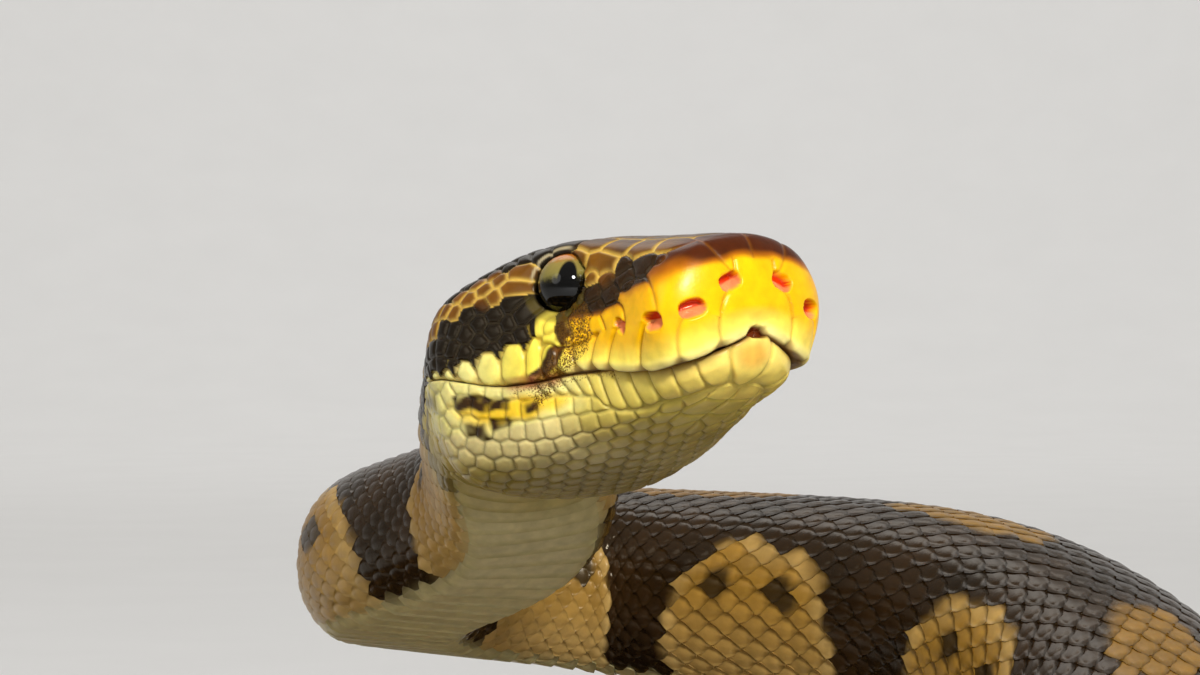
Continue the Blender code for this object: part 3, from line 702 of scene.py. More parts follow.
def head_seeds():
    """Middles, long directions and half sizes of all the head's joined scales."""
    dice = np.random.default_rng(7)
    rows = list(SHIELDS) + list(CHIN_SHIELDS)
    near_eye = place(EYE_BACK, EYE_TURN)
    for row in lattice(*UPPER_ROWS, True, dice) + lattice(*LOWER_ROWS, False, dice):
        crown = row[0] < 22.0 and row[1] < 0.22        # the crown's own shields lie here
        chin = row[0] < 11.0 and row[1] > 0.77         # and the chin's here
        beside_eye = np.linalg.norm(place(row[0], row[1]) - near_eye) < EYE_RADIUS + 1.7
        if not (crown or chin or beside_eye):
            rows.append(row)
    back, turn, long, wide, lean = np.array(rows).T
    spots, axes, halves, backs, turns = [], [], [], [], []
    for side in (1.0, -1.0):
        # A scale on the middle line isn't made a second time.
        apart = (turn > 0.012) & (turn < 0.988)
        keep = apart if side < 0 else np.full(len(turn), True)
        b, a, half_l, half_w, tilt = (v[keep] for v in (back, turn * side, long, wide, lean))
        spot = place(b, a)
        to_back = unit(place(b + 0.4, a) - place(np.maximum(b - 0.2, 0.02), a))
        down = unit(np.cross(outward(WHOLE - b, a), to_back)) * -side
        turned = np.radians(tilt)[:, None]
        spots.append(spot)
        axes.append(unit(np.cos(turned) * to_back + np.sin(turned) * down))
        halves.append(np.column_stack((half_l, half_w)))
        backs.append(b)
        turns.append(a)
    for side in (1.0, -1.0):
        centre, out, to_back, up = eye_frame(side)
        for k in range(RING_COUNT):
            angle = 2 * math.pi * (k + 0.5) / RING_COUNT
            ray = math.cos(angle) * to_back + math.sin(angle) * up
            if math.sin(angle) > BROW_SINE:
                continue
            spot = centre + out * RING_OUT + ray * RING_RADIUS
            spots.append(spot[None])
            axes.append(unit(np.cross(out, ray))[None])
            halves.append(np.array([RING_HALVES]))
            backs.append(np.array([EYE_BACK + math.cos(angle) * RING_RADIUS]))
            turns.append(np.array([side * (0.315 - 0.075 * math.sin(angle))]))
    return (np.vstack(spots), np.vstack(axes), np.vstack(halves), np.concatenate(backs),
            np.concatenate(turns))


CHUNK, SEED_REACH = 2500, 6.5            # points worked on at a time, and how far they look
RIVALS = 4                               # neighbours that can share a scale's edge


def find_cells(p, back, seeds):
    """Each point's own scale, its distance to that scale's edge and its place along it."""
    spots, axes, halves, backs = seeds[:4]
    cell = np.zeros(len(p), int)
    edge, lengthways = np.zeros(len(p)), np.zeros(len(p))
    order = np.argsort(back, kind="stable")
    for rows in np.array_split(order, max(1, len(order) // CHUNK)):
        low, high = back[rows].min() - SEED_REACH, back[rows].max() + SEED_REACH
        near = np.where((backs > low) & (backs < high))[0]
        gap = p[rows][:, None] - spots[near][None]
        run = np.einsum("ijk,jk->ij", gap, axes[near])
        # The distance is measured in each scale's own half sizes, and squared.
        l2, w2 = halves[near, 0] ** 2, halves[near, 1] ** 2
        reach = (gap ** 2).sum(-1)
        far = run ** 2 / l2 + np.maximum(reach - run ** 2, 0.0) / w2
        best = np.argpartition(far, RIVALS, axis=1)[:, :RIVALS + 1]
        best = np.take_along_axis(best, np.argsort(np.take_along_axis(far, best, 1), 1), 1)
        line = np.arange(len(rows))

        def slope(k):
            j = best[:, k]
            d, r = gap[line, j], run[line, j][:, None]
            ax = axes[near][j]
            return 2 * (r * ax / l2[j][:, None] + (d - r * ax) / w2[j][:, None])

        first, base = slope(0), far[line, best[:, 0]]
        margin = np.full(len(rows), FAR)
        for k in range(1, RIVALS + 1):
            lean = np.linalg.norm(slope(k) - first, axis=1) + 1e-9
            margin = np.minimum(margin, (far[line, best[:, k]] - base) / lean)
        cell[rows] = near[best[:, 0]]
        edge[rows] = margin
        lengthways[rows] = run[line, best[:, 0]] / halves[near][best[:, 0], 0]
    return cell, edge, lengthways


def dents(back, p):
    """How deep the nostrils and heat pits go, how far up a point is in one, and if it is."""
    depth, height, inside = (np.zeros(len(back)) for _ in range(3))
    for b, a, half_w, half_h, deep, tilt in PITS:
        for side in (1.0, -1.0):
            centre = place(b, a * side)
            out = outward(WHOLE - b, a * side)
            level = unit(np.cross(UP, out))
            level = level if level @ (-side * LEFT - FORWARD) > 0 else -level
            up = np.cross(out, level)
            up = up if up @ UP > 0 else -up
            turned = math.radians(tilt)
            across = math.cos(turned) * level + math.sin(turned) * up
            tall = math.cos(turned) * up - math.sin(turned) * level
            near = np.abs(back - b) < PIT_NEAR
            gap = p[near] - centre
            x, y = gap @ across / half_w, gap @ tall / half_h
            flat = np.abs(gap @ out) < PIT_FLAT
            # A steep wall above, and a floor that runs out gently below.
            hole = fade(np.abs(x) ** 2.6 + np.abs(y) ** 2.6, 0.72, 1.12) * flat
            floor = hole * deep * (0.25 + 0.75 * ease(y, -1.0, 0.35))
            depth[near] = np.maximum(depth[near], floor)
            height[near] = np.where(hole > 0.02, y, height[near])
            inside[near] = np.maximum(inside[near], hole)
    return depth, height, inside


def rounded(a, b, radius):
    """Distance to the nearer of two edges that meet in a rounded corner."""
    corner = (a < radius) & (b < radius)
    round_edge = np.maximum(radius - np.hypot(radius - a, radius - b), 0.0)
    return np.where(corner, round_edge, np.minimum(a, b))


def upper_lip(back, q, y, z, from_lip, per_turn, per_mm, edge):
    """The upper lip's own row of shields, and the broad one at the front of the snout."""
    top = smooth(back, LABIAL_TOP)
    rise = np.clip((LIP_SHARE - q) / np.maximum(LIP_SHARE - top, 0.01), 0.0, 1.0)
    half = smooth(z, ROSTRAL_HALF)
    front = (back < 3.0) & (z < ROSTRAL_TOP)
    broad = front & (np.abs(y) < half)
    beside = np.abs(np.abs(y) - half)
    number, seam = np.zeros(len(back)), np.full(len(back), FAR)
    for b, slant in UPPER_SEAMS:
        line = b - slant * rise ** 2
        number += back > line
        seam = np.minimum(seam, np.abs(back - line) * per_mm)
    # Behind the eye each shield has its own level rounded top.
    places = np.array([0.0] + [b for b, slant in UPPER_SEAMS] + [LABIAL_END])
    home = (places[:-1] + places[1:])[number.astype(int)] / 2
    top += (smooth(home, LABIAL_TOP) - top) * ease(back, 18.5, 20.5)
    top += 0.020 * ease(back, 20.0, 22.0) * fade(seam, 0.0, 1.1)
    row = (q > top) & ~broad & (back < LABIAL_END)
    to_top = np.abs(q - top) * per_turn
    to_side = np.where(front & (number < 1), np.minimum(seam, beside), seam)
    row_edge = np.minimum(rounded(to_side, from_lip + 0.10, 1.5),
                          rounded(to_side, to_top + 1.2 * fade(back, 10, 15), 1.2))
    above = ~row & ~broad & (back < LABIAL_END)
    edge = np.where(row, row_edge, edge)
    edge = np.where(above, np.minimum(edge, to_top + 1.2 * fade(back, 8, 14)), edge)
    edge = np.where(above & front, np.minimum(edge, beside), edge)
    edge = np.where(broad, rounded(beside, from_lip + 0.12, 1.1), edge)
    return row, broad, number, to_side, edge


def lower_lip(back, y, z, from_lip, per_mm, edge):
    """The lower lip's tall slanting shields and the chin shield between them."""
    under = np.maximum(lip_height(back) - z, 0.0)
    deep = smooth(back, LOWER_DEPTH)
    half = smooth(z, MENTAL_HALF)
    middle = np.abs(y - 0.6)
    broad = (back < 4.0) & (middle < half) & (z > MENTAL_BOTTOM)
    row = (under < deep) & (back < INFRALABIAL_END) & ~broad
    slope = smooth(back, LOWER_LEAN)
    slid = back + np.abs(y) + slope * under
    number, seam = np.zeros(len(back)), np.full(len(back), FAR)
    for b in LOWER_SEAMS:
        number += slid > b
        seam = np.minimum(seam, np.abs(slid - b) * per_mm / np.hypot(1.15, slope))
    beside = np.abs(middle - half)
    to_side = np.where(back < 4.5, np.minimum(seam, beside), seam)
    to_bottom = np.abs(deep - under)
    row_edge = np.minimum(rounded(to_side, to_bottom, 0.8), from_lip + 0.15)
    below = ~row & ~broad & (back < INFRALABIAL_END)
    edge = np.where(row, row_edge, edge)
    edge = np.where(below, np.minimum(edge, to_bottom + 0.02), edge)
    edge = np.where(broad, rounded(beside, np.abs(z - MENTAL_BOTTOM), 0.9), edge)
    return row, broad, number, to_side, edge


def sink_eyes(back, turn, p, height):
    """Sinks the skin under the eyes so it hugs them, and finds three parts of their rims."""
    socket, rim_low, brow_lit = (np.zeros(len(back)) for _ in range(3))
    for sign in (1.0, -1.0):
        centre, out, to_back, up = eye_frame(sign)
        gap = p - centre
        off = np.linalg.norm(gap - (gap @ out)[:, None] * out, axis=1) - EYE_RADIUS
        near = (np.abs(back - EYE_BACK) < 7.0) & (gap @ out > -1.0) & (turn * sign > 0)
        sunk = height - 0.30 * hump(off, 0.9) - 2.4 * fade(off, -0.45, 0.02)
        brow = 0.35 * hump(off - 0.65, 1.0) * ease(gap @ up, 0.5, 2.2)
        height = np.where(near, sunk + brow, height)
        # The socket's edge round the ball, painted near-black as shade.
        socket = np.where(near, fade(off, -0.10, 0.26), socket)
        ring = band(off, 0.0, 1.1, 0.5) * ease(-(gap @ up), 0.9, 2.4)
        rim_low = np.where(near, ring, rim_low)
        # A crescent on the brow's edge above and behind the eye, painted pale as a highlight.
        edge_lit = band(off, 0.22, 0.50, 0.2) * ease(gap @ (up + 0.8 * to_back), 2.4, 3.6)
        brow_lit = np.where(near, edge_lit, brow_lit)
    return height, socket, rim_low, brow_lit


def scale_paint(back, turn, p, middle, row, own, upper):
    """The markings of the head, where each scale takes most of them from its own middle."""
    q, side = np.abs(turn), np.where(turn > 0, 1.0, -1.0)
    hold = 0.75 * ease(back, 3.0, 6.0) * ~own * (1.0 if upper else ease(q, 0.66, 0.70))
    paint_back = back + (middle[0] - back) * hold
    paint_turn = q + (middle[1] - q) * hold
    if upper:
        limit = smooth(back, BAND_BOTTOM)
        rear = back > 21.3
        paint_turn = np.where(rear & row, np.maximum(paint_turn, limit + 0.014), paint_turn)
        paint_turn = np.where(rear & ~row, np.minimum(paint_turn, limit - 0.014), paint_turn)
        paint_turn = np.minimum(paint_turn, LIP_SHARE - 0.008)
    else:
        paint_turn = np.maximum(paint_turn, LIP_SHARE + 0.008)
    return animal_paint(WHOLE - paint_back, paint_turn * side, p)


# Relief of the head in mm: how far scales bulge, how their edges sink, how lips round off.
LABIAL_BULGE, CHIN_BULGE, SMALL_BULGE, BULGE_REACH = 0.30, 0.22, 0.13, 0.55
GROOVE_DEPTH, GROOVE_HALF = 0.20, 0.18
LIP_REACH, LIP_ROUND = (0.42, 0.36), (0.26, 0.34)          # of the lower and the upper lip
NOTCH_DEPTH = 0.8                        # the notch that lets the tongue out


def head_relief(back, turn, p, seeds, upper):
    """Height of the scaly surface over the smooth one, in mm, and its colours."""
    q = np.abs(turn)
    local = p - COIL_CENTRE - SNOUT
    y, z = -local @ LEFT, local @ UP
    per_turn = np.linalg.norm(round_it(WHOLE - back, turn, 0.004), axis=1)
    low, high = np.maximum(back - 0.1, 0.02), back + 0.1
    per_mm = np.linalg.norm(place(high, turn) - place(low, turn), axis=1) / (high - low)
    cell, edge, lengthways = find_cells(p, back, seeds)
    from_lip = np.abs(q - LIP_SHARE - (0.0 if upper else JAW_GAP)) * per_turn
    if upper:
        row, broad, number, to_side, edge = upper_lip(back, q, y, z, from_lip, per_turn,
                                                      per_mm, edge)
    else:
        row, broad, number, to_side, edge = lower_lip(back, y, z, from_lip, per_mm, edge)
    own = row | broad
    lengthways = np.clip(lengthways, -1, 1)
    # Little gaps where two of the lip's shields and the other lip meet, sunk and painted dark as
    # shade.
    gap_lip = own * upper * hump(np.hypot(to_side, from_lip), 0.6) * (back < 21.0)
    bulge = np.where(own, LABIAL_BULGE if upper else CHIN_BULGE, SMALL_BULGE)
    bulge += 0.14 * band(back, 5.5, 16.0, 2.0) * band(q, 0.215, 0.40, 0.03) * ~own
    smooth_snout = fade(back, 3.0, 5.0) * upper
    groove = hump(edge, GROOVE_HALF + 0.06 * smooth_snout)
    height = -(GROOVE_DEPTH + 0.06 * own - (0.16 - 0.06 * own) * smooth_snout) * groove
    height -= bulge * (1 - 0.3 * smooth_snout) * np.exp(-edge / BULGE_REACH)
    height += np.where(own, 0.0, 0.07) * lengthways * ease(back, 14.0, 22.0)
    # Rounded lips that part in a dark line of painted shade.
    closed = ease(back, MOUTH_CORNER - 1.5, MOUTH_CORNER + 4.0)
    lip = np.clip(1 - from_lip / LIP_REACH[upper], 0, 1)
    height -= ((LIP_ROUND[upper] * (1 - closed) + 0.10 * closed)
               * (1 - np.sqrt(np.clip(1 - lip ** 2, 0, 1))))
    height -= 0.30 * gap_lip
    # The notch is painted dark red-brown: the mouth's colour with painted shade in its hollow.
    notch = ease(1 - ((y - 0.2) / 1.35) ** 2 - ((z + 0.60) / 1.20) ** 2, 0.0, 0.3)
    notch = notch * (back < 1.6) * (1.0 if upper else ease(z, -0.80, -0.55))
    height -= NOTCH_DEPTH * notch
    if upper:
        height += 0.12 * hump(from_lip - 0.9, 0.5) * (1 - closed)
        # The broad shield swells over the notch for the tongue.
        height += 0.30 * np.exp(-((y / 2.4) ** 2 + ((z - 2.4) / 1.2) ** 2)) * broad
        height -= 0.22 * np.exp(-((y - 0.2) / 2.2) ** 2 - ((z - 0.9) / 0.7) ** 2) * broad
    dip, dip_height, pit = dents(back, p)
    height, socket, rim_low, brow_lit = sink_eyes(back, turn, p, height - dip)
    middle = (seeds[3][cell], np.abs(seeds[4][cell]))
    tint, rim, rim_share, speckle, gloss = scale_paint(back, turn, p, middle, row, own, upper)
    tone = np.where(own, 4000 + 200 * broad + number + 50 * (turn > 0) * row, cell)
    tint = tint * (1 + 0.14 * (scatter(tone, 1.0) - 0.5) * ease(back, 2.0, 6.0))[:, None]
    gilded = rim_share > 0.8
    tint = tint * (1 + np.where(gilded, 0.20 * lengthways, 0.0))[:, None]
    tint = mix(tint, rim, rim_share * hump(edge, np.where(gilded, 0.24, 0.15)))
    # Painted shade along the lips: a dark line, wider on the lower lip where the upper one
    # overhangs it.
    shaded = 0.19 + (0.0 if upper else 0.34) * band(back, 1.6, 14.0, 3.2)
    lip_line_shade = hump(from_lip, shaded) * (1 - 0.8 * closed)
    # The pit's upper wall is painted darker red as shade under its rim, over the pink floor.
    wall = mix(PIT_FLOOR, PIT_ROOF_SHADE, ease(dip_height, 0.02, 0.22))
    walled = ease(pit * ease(dip_height, -1.1, -0.4), 0.05, 0.5)
    # Painted shade in the lips' line and gaps, the notch, the pits' roofs and the eyes' sockets;
    # a painted highlight on the brow.
    for colour, share in ((MOUTH_AND_SHADE_DARK, np.maximum(0.85 * lip_line_shade, 0.7 * gap_lip)),
                          (MOUTH_AND_SHADE_DARK, notch), (wall, walled), (SOCKET_OLIVE, 0.5 * rim_low),
                          (BROW_HIGHLIGHT, 0.7 * brow_lit), (SOCKET_SHADE, socket)):
        tint = mix(tint, colour, share)
    wet = np.clip(pit + 0.4 * gloss + notch + 0.15 * upper * fade(back, 5, 14), 0, 1)
    return height, tint, speckle, wet


# ---------------------------------------------------------------- making meshes
def make_mesh(name, points, faces, tints, extras, uvs, material):
    """An object from mm points and faces, with its colours, numbers and unwrap."""
    mesh = bpy.data.meshes.new(name)
    mesh.vertices.add(len(points))
    mesh.vertices.foreach_set("co", (np.asarray(points) * MM).astype(np.float32).ravel())
    sizes = np.concatenate([np.full(len(f), f.shape[1]) for f in faces if len(f)])
    loops = np.concatenate([f.ravel() for f in faces if len(f)])
    mesh.loops.add(len(loops))
    mesh.loops.foreach_set("vertex_index", loops.astype(np.int32))
    mesh.polygons.add(len(sizes))
    starts = np.concatenate(([0], np.cumsum(sizes)[:-1]))
    mesh.polygons.foreach_set("loop_start", starts.astype(np.int32))
    mesh.polygons.foreach_set("use_smooth", np.ones(len(sizes), bool))
    colour = mesh.color_attributes.new("marking", "FLOAT_COLOR", "POINT")
    rgba = np.column_stack((np.clip(tints, 0, 1), np.ones(len(points))))
    colour.data.foreach_set("color", rgba.astype(np.float32).ravel())
    for label, values in extras.items():
        layer = mesh.attributes.new(label, "FLOAT", "POINT")
        layer.data.foreach_set("value", np.asarray(values, np.float32))
    layer = mesh.uv_layers.new(name="OFBake")
    layer.data.foreach_set("uv", np.asarray(uvs)[loops].astype(np.float32).ravel())
    mesh.update(calc_edges=True)
    mesh.validate()
    obj = bpy.data.objects.new(name, mesh)
    bpy.context.scene.collection.objects.link(obj)
    mesh.materials.append(material)
    return obj


def grid_faces(rows, columns, start=0, closed=False):
    """Quads of a grid whose rows run towards the snout and columns from crown to right."""
    r, c = np.meshgrid(np.arange(rows - 1), np.arange(columns if closed else columns - 1),
                       indexing="ij")
    d = (c + 1) % columns
    a = start + r * columns
    return np.stack((a + c, a + d, a + columns + d, a + columns + c), -1).reshape(-1, 4)


def grid_uvs(rows, columns, low=0.01, high=0.99):
    """An unwrap of such a grid: rows go along it, columns from low to high."""
    u = np.repeat(np.linspace(0.01, 0.99, rows), columns)
    return np.column_stack((u, np.tile(np.linspace(low, high, columns), rows)))


def head_stations(count):
    """Distances behind the snout that lie evenly over the head's own surface."""
    back = HEAD_END * np.linspace(0, 1, 5000) ** 4 + 1e-6
    steps = [np.linalg.norm(np.diff(place(back, np.full(len(back), q)), axis=0), axis=1)
             for q in (0.06, 0.2, 0.35, 0.48, 0.57, 0.66, 0.8, 0.95)]
    closer = 1.0 + 0.5 * fade(back[1:], 18.0, 26.0)            # finer before the eyes
    length = np.concatenate(([0.0], np.cumsum(np.mean(steps, axis=0) * closer)))
    return np.interp(np.linspace(0, length[-1], count), length, back)


# The head's shells: lengthways lines, lines across the upper and the lower one, and how
# many of them the inner wall passes over.  Their wall is thicker at the front, in mm.
SHELL_ROWS, UPPER_COLUMNS, LOWER_COLUMNS, COARSE = 337, 281, 241, 8
SHELL_WALL, FRONT_WALL = 0.85, 0.9


def shell_faces(rows, columns):
    """Faces of an outer wall, a coarse inner wall and the folded edges that join them."""
    base, n_rows, n_columns = rows * columns, rows // COARSE + 1, columns // COARSE + 1
    faces = [grid_faces(rows, columns), grid_faces(n_rows, n_columns, base)[:, ::-1]]
    rim = []
    for n in range(n_rows - 1):
        for column, inside, turned in ((0, 0, False), (columns - 1, n_columns - 1, True)):
            line = [(n * COARSE + k) * columns + column for k in range(COARSE + 1)]
            face = line + [base + (n + 1) * n_columns + inside, base + n * n_columns + inside]
            rim.append(face[::-1] if turned else face)
    for n in range(n_columns - 1):
        for row, inside, turned in ((0, 0, True), (rows - 1, n_rows - 1, False)):
            line = [row * columns + n * COARSE + k for k in range(COARSE + 1)]
            face = line + [base + inside * n_columns + n + 1, base + inside * n_columns + n]
            rim.append(face[::-1] if turned else face)
    return faces + [np.array(rim)]


def head_shell(name, first, last, columns, seeds, material):
    """A closed scaly shell over part of the head, between two turns (0 to 2)."""
    rows = SHELL_ROWS
    back = head_stations(rows)[::-1]
    b, a = (g.ravel() for g in np.meshgrid(back, np.linspace(first, last, columns),
                                           indexing="ij"))
    a = (a + 1.0) % 2.0 - 1.0
    p = place(b, a)
    out = unit(mix(FORWARD, outward(WHOLE - b, a), ease(b, 0.01, 0.5)))
    upper = first < 0
    height, tint, speckle, wet = head_relief(b, a, p, seeds, upper)
    outer = p + out * height[:, None]
    if not upper:
        # The lower lip stands up behind the upper one that closes over it.
        near_lip = hump(np.abs(a) - LIP_SHARE - JAW_GAP, LIP_TUCK_SHARE)
        outer += (LIP_TUCK * near_lip * band(b, 0.4, 13.5, 3.6))[:, None] * UP
    # The inner wall lies under the deepest groove or pit near each of its points.
    deepest = np.minimum(height, 0.0).reshape(rows, columns)
    for axis in (0, 1):
        deepest = np.min([np.roll(deepest, k, axis) for k in range(-COARSE, COARSE + 1)], axis=0)
    pick = np.arange(rows * columns).reshape(rows, columns)[::COARSE, ::COARSE].ravel()
    inward = unit(mix(FORWARD, out[pick], ease(b[pick], 1.0, 5.0)))
    wall = SHELL_WALL + FRONT_WALL * fade(b[pick], 0.8, 3.0)
    inner = p[pick] + inward * (deepest.ravel()[pick] - wall)[:, None]
    uvs = np.vstack([grid_uvs(rows, columns, 0.01, 0.92),
                     grid_uvs(rows // COARSE + 1, columns // COARSE + 1, 0.94, 0.99)])
    extras = {"speckle": np.concatenate((speckle, speckle[pick])),
              "wet": np.concatenate((wet, wet[pick]))}
    # The inner wall takes the outer colours at half brightness: painted shade on the shells'
    # underside.
    return make_mesh(name, np.vstack([outer, inner]), shell_faces(rows, columns),
                     np.vstack([tint, tint[pick] * 0.5]), extras, uvs, material)


def lens_plate(along_count, across_count, outline):
    """One scale as a grid of places from root to tip and side to side, and its faces."""
    u = np.linspace(0, 1, along_count) ** 0.85
    v = np.linspace(-1, 1, across_count)
    uu, vv = (g.ravel() for g in np.meshgrid(u, v, indexing="ij"))
    wide = np.interp(uu, *zip(*outline))
    n = along_count * across_count
    grid = np.arange(n).reshape(along_count, across_count)
    border = np.concatenate([grid[0], grid[1:, -1], grid[-1, -2::-1], grid[-2:0:-1, 0]])
    ring = np.arange(len(border))
    low_a, low_b = n + ring, n + np.roll(ring, -1)
    top = np.stack((grid[:-1, :-1].ravel(), grid[1:, :-1].ravel(), grid[1:, 1:].ravel(),
                    grid[:-1, 1:].ravel()), -1)
    side = np.stack((np.roll(border, -1), border, low_a, low_b), -1)
    uu, vv, wide = (np.concatenate((v, v[border])) for v in (uu, vv, wide))
    return uu, vv, wide, np.arange(len(uu)) >= n, (top, side, low_a[None])


WIDE_PLATE = 0.15                        # half width from which a plate is wide, in turn
UNEVEN = 0.04                            # how unevenly the scales lie, mm
OWN_SHARE = 0.4                          # a scale shows this share of its own width's markings


def plates(name, spots, template, heights, thickness, material, shade=0.12):
    """A joined mesh of scales; each spot is t, turn, length, half width and mm per turn."""
    u, v, wide, is_low, shapes = template
    t, turn, length, half, per_turn = (c[:, None] for c in np.array(spots).T)
    tt = np.maximum(t + (0.5 - u) * length, 0.5)
    aa = turn + v * wide * half / per_turn
    p = surface(tt, aa)
    # A small scale rises as its middle does; a wide plate follows the body round.
    out = np.broadcast_to(outward(t[:, 0], turn[:, 0])[:, None], p.shape)
    if np.max(half / per_turn) > WIDE_PLATE:
        out = outward(tt, aa)
    rise = heights(u, v) - is_low * thickness
    dice = scatter(np.round(t * 3.1), np.round(turn * 997))
    points = (p + out * (rise + UNEVEN * (dice - 0.5))[..., None]).reshape(-1, 3)
    near_t = t + (tt - t) * OWN_SHARE
    near_a = turn + (aa - turn) * OWN_SHARE
    tint, edge, share, speckle, gloss = animal_paint(
        near_t.ravel(), ((near_a.ravel() + 1) % 2) - 1, surface(near_t, near_a).reshape(-1, 3))
    dull = (1 + shade * 2 * (np.broadcast_to(dice, tt.shape) - 0.5)).ravel()
    rim = np.clip(np.abs(v) ** 3 + np.clip(u - 0.8, 0, 1) * 3 + is_low, 0, 1)
    rim = np.broadcast_to(rim, tt.shape).ravel()
    tint = mix(tint * dull[:, None], edge, rim * share * 0.75)
    count, each = tt.shape
    faces = [(shape[None] + (np.arange(count) * each)[:, None, None]).reshape(-1, shape.shape[1])
             for shape in shapes]
    first, last = (turn.min(), turn.max()) if np.ptp(turn) > 0.1 else (-1.0, 1.0)
    root_u = 0.02 + 0.96 * (t - tt.min()) / (tt.max() - tt.min())
    root_v = 0.02 + 0.96 * (turn - first) / (last - first + 1e-6)
    uvs = np.stack((np.broadcast_to(root_u + 0.003 * (0.5 - u), tt.shape),
                    np.broadcast_to(root_v + 0.0015 * v, tt.shape)), -1).reshape(-1, 2)
    return make_mesh(name, points, faces, tint,
                     {"speckle": speckle, "wet": 0.7 * gloss}, uvs, material)


# Length of the body's scales and the spacing of their rows, by share of the body.
SCALE_LENGTH = ((0.0, 2.0), (0.05, 3.0), (0.1, 4.0), (0.22, 5.3), (0.5, 5.7), (0.8, 5.3),
                (0.93, 4.1), (1.0, 3.0))
ROW_PITCH = ((0.0, 0.8), (0.05, 1.05), (0.12, 1.45), (0.26, 1.9), (0.6, 2.0), (0.8, 1.78),
             (0.93, 1.5), (1.0, 1.4))
OVERLAP, SIDE_OVERLAP, BELLY_OVERLAP = 1.26, 1.12, 1.3
# Points along and across one scale and one plate, and their outlines: (place from root
# to tip, share of the half width).
SCALE_GRID, BELLY_GRID = (5, 5), (4, 15)
SCALE_OUTLINE = ((0, 0.42), (0.3, 0.86), (0.52, 1.0), (0.8, 0.66), (1.0, 0.14))
BELLY_OUTLINE = ((0, 0.93), (0.5, 1.0), (1.0, 0.965))
BELLY_THICKNESS = 0.25
BELLY_TURN = 0.775                       # the belly plates begin at this turn
COAT_START = WHOLE - 46.4
COAT_END, BELLY_END = 2.5, 4.0


def scale_height(u, v):
    """A body scale's height in mm: a tucked root, a free tip and sides that fall away."""
    lift = -0.66 + 0.62 * ease(u, -0.1, 0.85)
    return lift - 0.20 * np.abs(v) ** 2.4 - 0.10 * np.clip(u - 0.8, 0, 1) / 0.2


def plate_height(u, v):
    """A belly plate's height in mm, which falls away only at its two ends."""
    return -0.60 + 0.57 * ease(u, 0.0, 0.9) - 0.22 * np.abs(v) ** 8


def body_spots():
    """Staggered places for the body's small scales, from the neck to the tail tip."""
    spots, t, n = [], COAT_START, 0
    while t > COAT_END:
        share = t / BODY_LENGTH
        length, pitch = float(smooth(share, SCALE_LENGTH)), float(smooth(share, ROW_PITCH))
        turns, arcs = arc_table(t, BODY_ARCS)
        rate = np.gradient(arcs, turns)
        limit = np.interp(BELLY_TURN, turns, arcs)
        k = n % 2
        while k * pitch < limit:
            turn = float(np.interp(k * pitch, arcs, turns))
            per_turn = float(np.interp(turn, turns, rate))
            for side in ((1.0, -1.0) if k else (1.0,)):
                spots.append((t, turn * side, length * OVERLAP, pitch * SIDE_OVERLAP, per_turn))
            k += 2
        t -= length * 0.5
        n += 1
    return spots


def belly_spots():
    """Places for the wide plates along the middle of the belly."""
    spots, t, edge = [], COAT_START + 0.5, BELLY_TURN - 0.02
    while t > BELLY_END:
        length = float(smooth(t / BODY_LENGTH, SCALE_LENGTH))
        turns, arcs = arc_table(t, BODY_ARCS)
        half = arcs[-1] - np.interp(edge, turns, arcs)
        spots.append((t, 1.0, length * BELLY_OVERLAP, half, half / (1.0 - edge)))
        t -= length
    return spots


# ---------------------------------------------------------------- materials
def feed(tree, node, inputs):
    """Gives a node's sockets numbers, colours or links."""
    for key, value in inputs.items():
        if isinstance(value, bpy.types.NodeSocket):
            tree.links.new(value, node.inputs[key])
        else:
            node.inputs[key].default_value = value


def add(tree, kind, settings=None, inputs=None):
    """Adds a node, sets its settings and gives its sockets numbers or links."""
    made = tree.nodes.new(kind)
    for key, value in (settings or {}).items():
        setattr(made, key, value)
    feed(tree, made, inputs or {})
    return made


def new_material(name):
    """A material, its tree and its shader node."""
    material = bpy.data.materials.new(name)
    material.use_nodes = True
    tree = material.node_tree
    return material, tree, tree.nodes["Principled BSDF"]


def noise(tree, mm, detail, roughness=0.5):
    """A noise in the object's own space, with a pattern of this size in mm."""
    spot = add(tree, "ShaderNodeTexCoord").outputs["Object"]
    made = add(tree, "ShaderNodeTexNoise", {"noise_dimensions": "3D"},
               {"Vector": spot, "Scale": 1.0 / (mm * MM), "Detail": detail,
                "Roughness": roughness})
    return made.outputs["Fac"]


def reading(tree, name, output="Fac"):
    """What a mesh says under a name, point by point."""
    return add(tree, "ShaderNodeAttribute", {"attribute_name": name}).outputs[output]


def ranged(tree, value, low, high, to_low=0.0, to_high=1.0):
    """A value's run from low to high, spread over another run."""
    made = add(tree, "ShaderNodeMapRange", None,
               {"Value": value, "From Min": low, "From Max": high, "To Min": to_low,
                "To Max": to_high})
    return made.outputs["Result"]


def reckon(tree, operation, *values):
    """One step of arithmetic on sockets and numbers."""
    return add(tree, "ShaderNodeMath", {"operation": operation},
               dict(enumerate(values))).outputs[0]


def blended(tree, share, below, above):
    """A colour with a share of another over it."""
    return add(tree, "ShaderNodeMix", {"data_type": "RGBA"},
               {"Factor": share, 6: below, 7: above}).outputs[2]


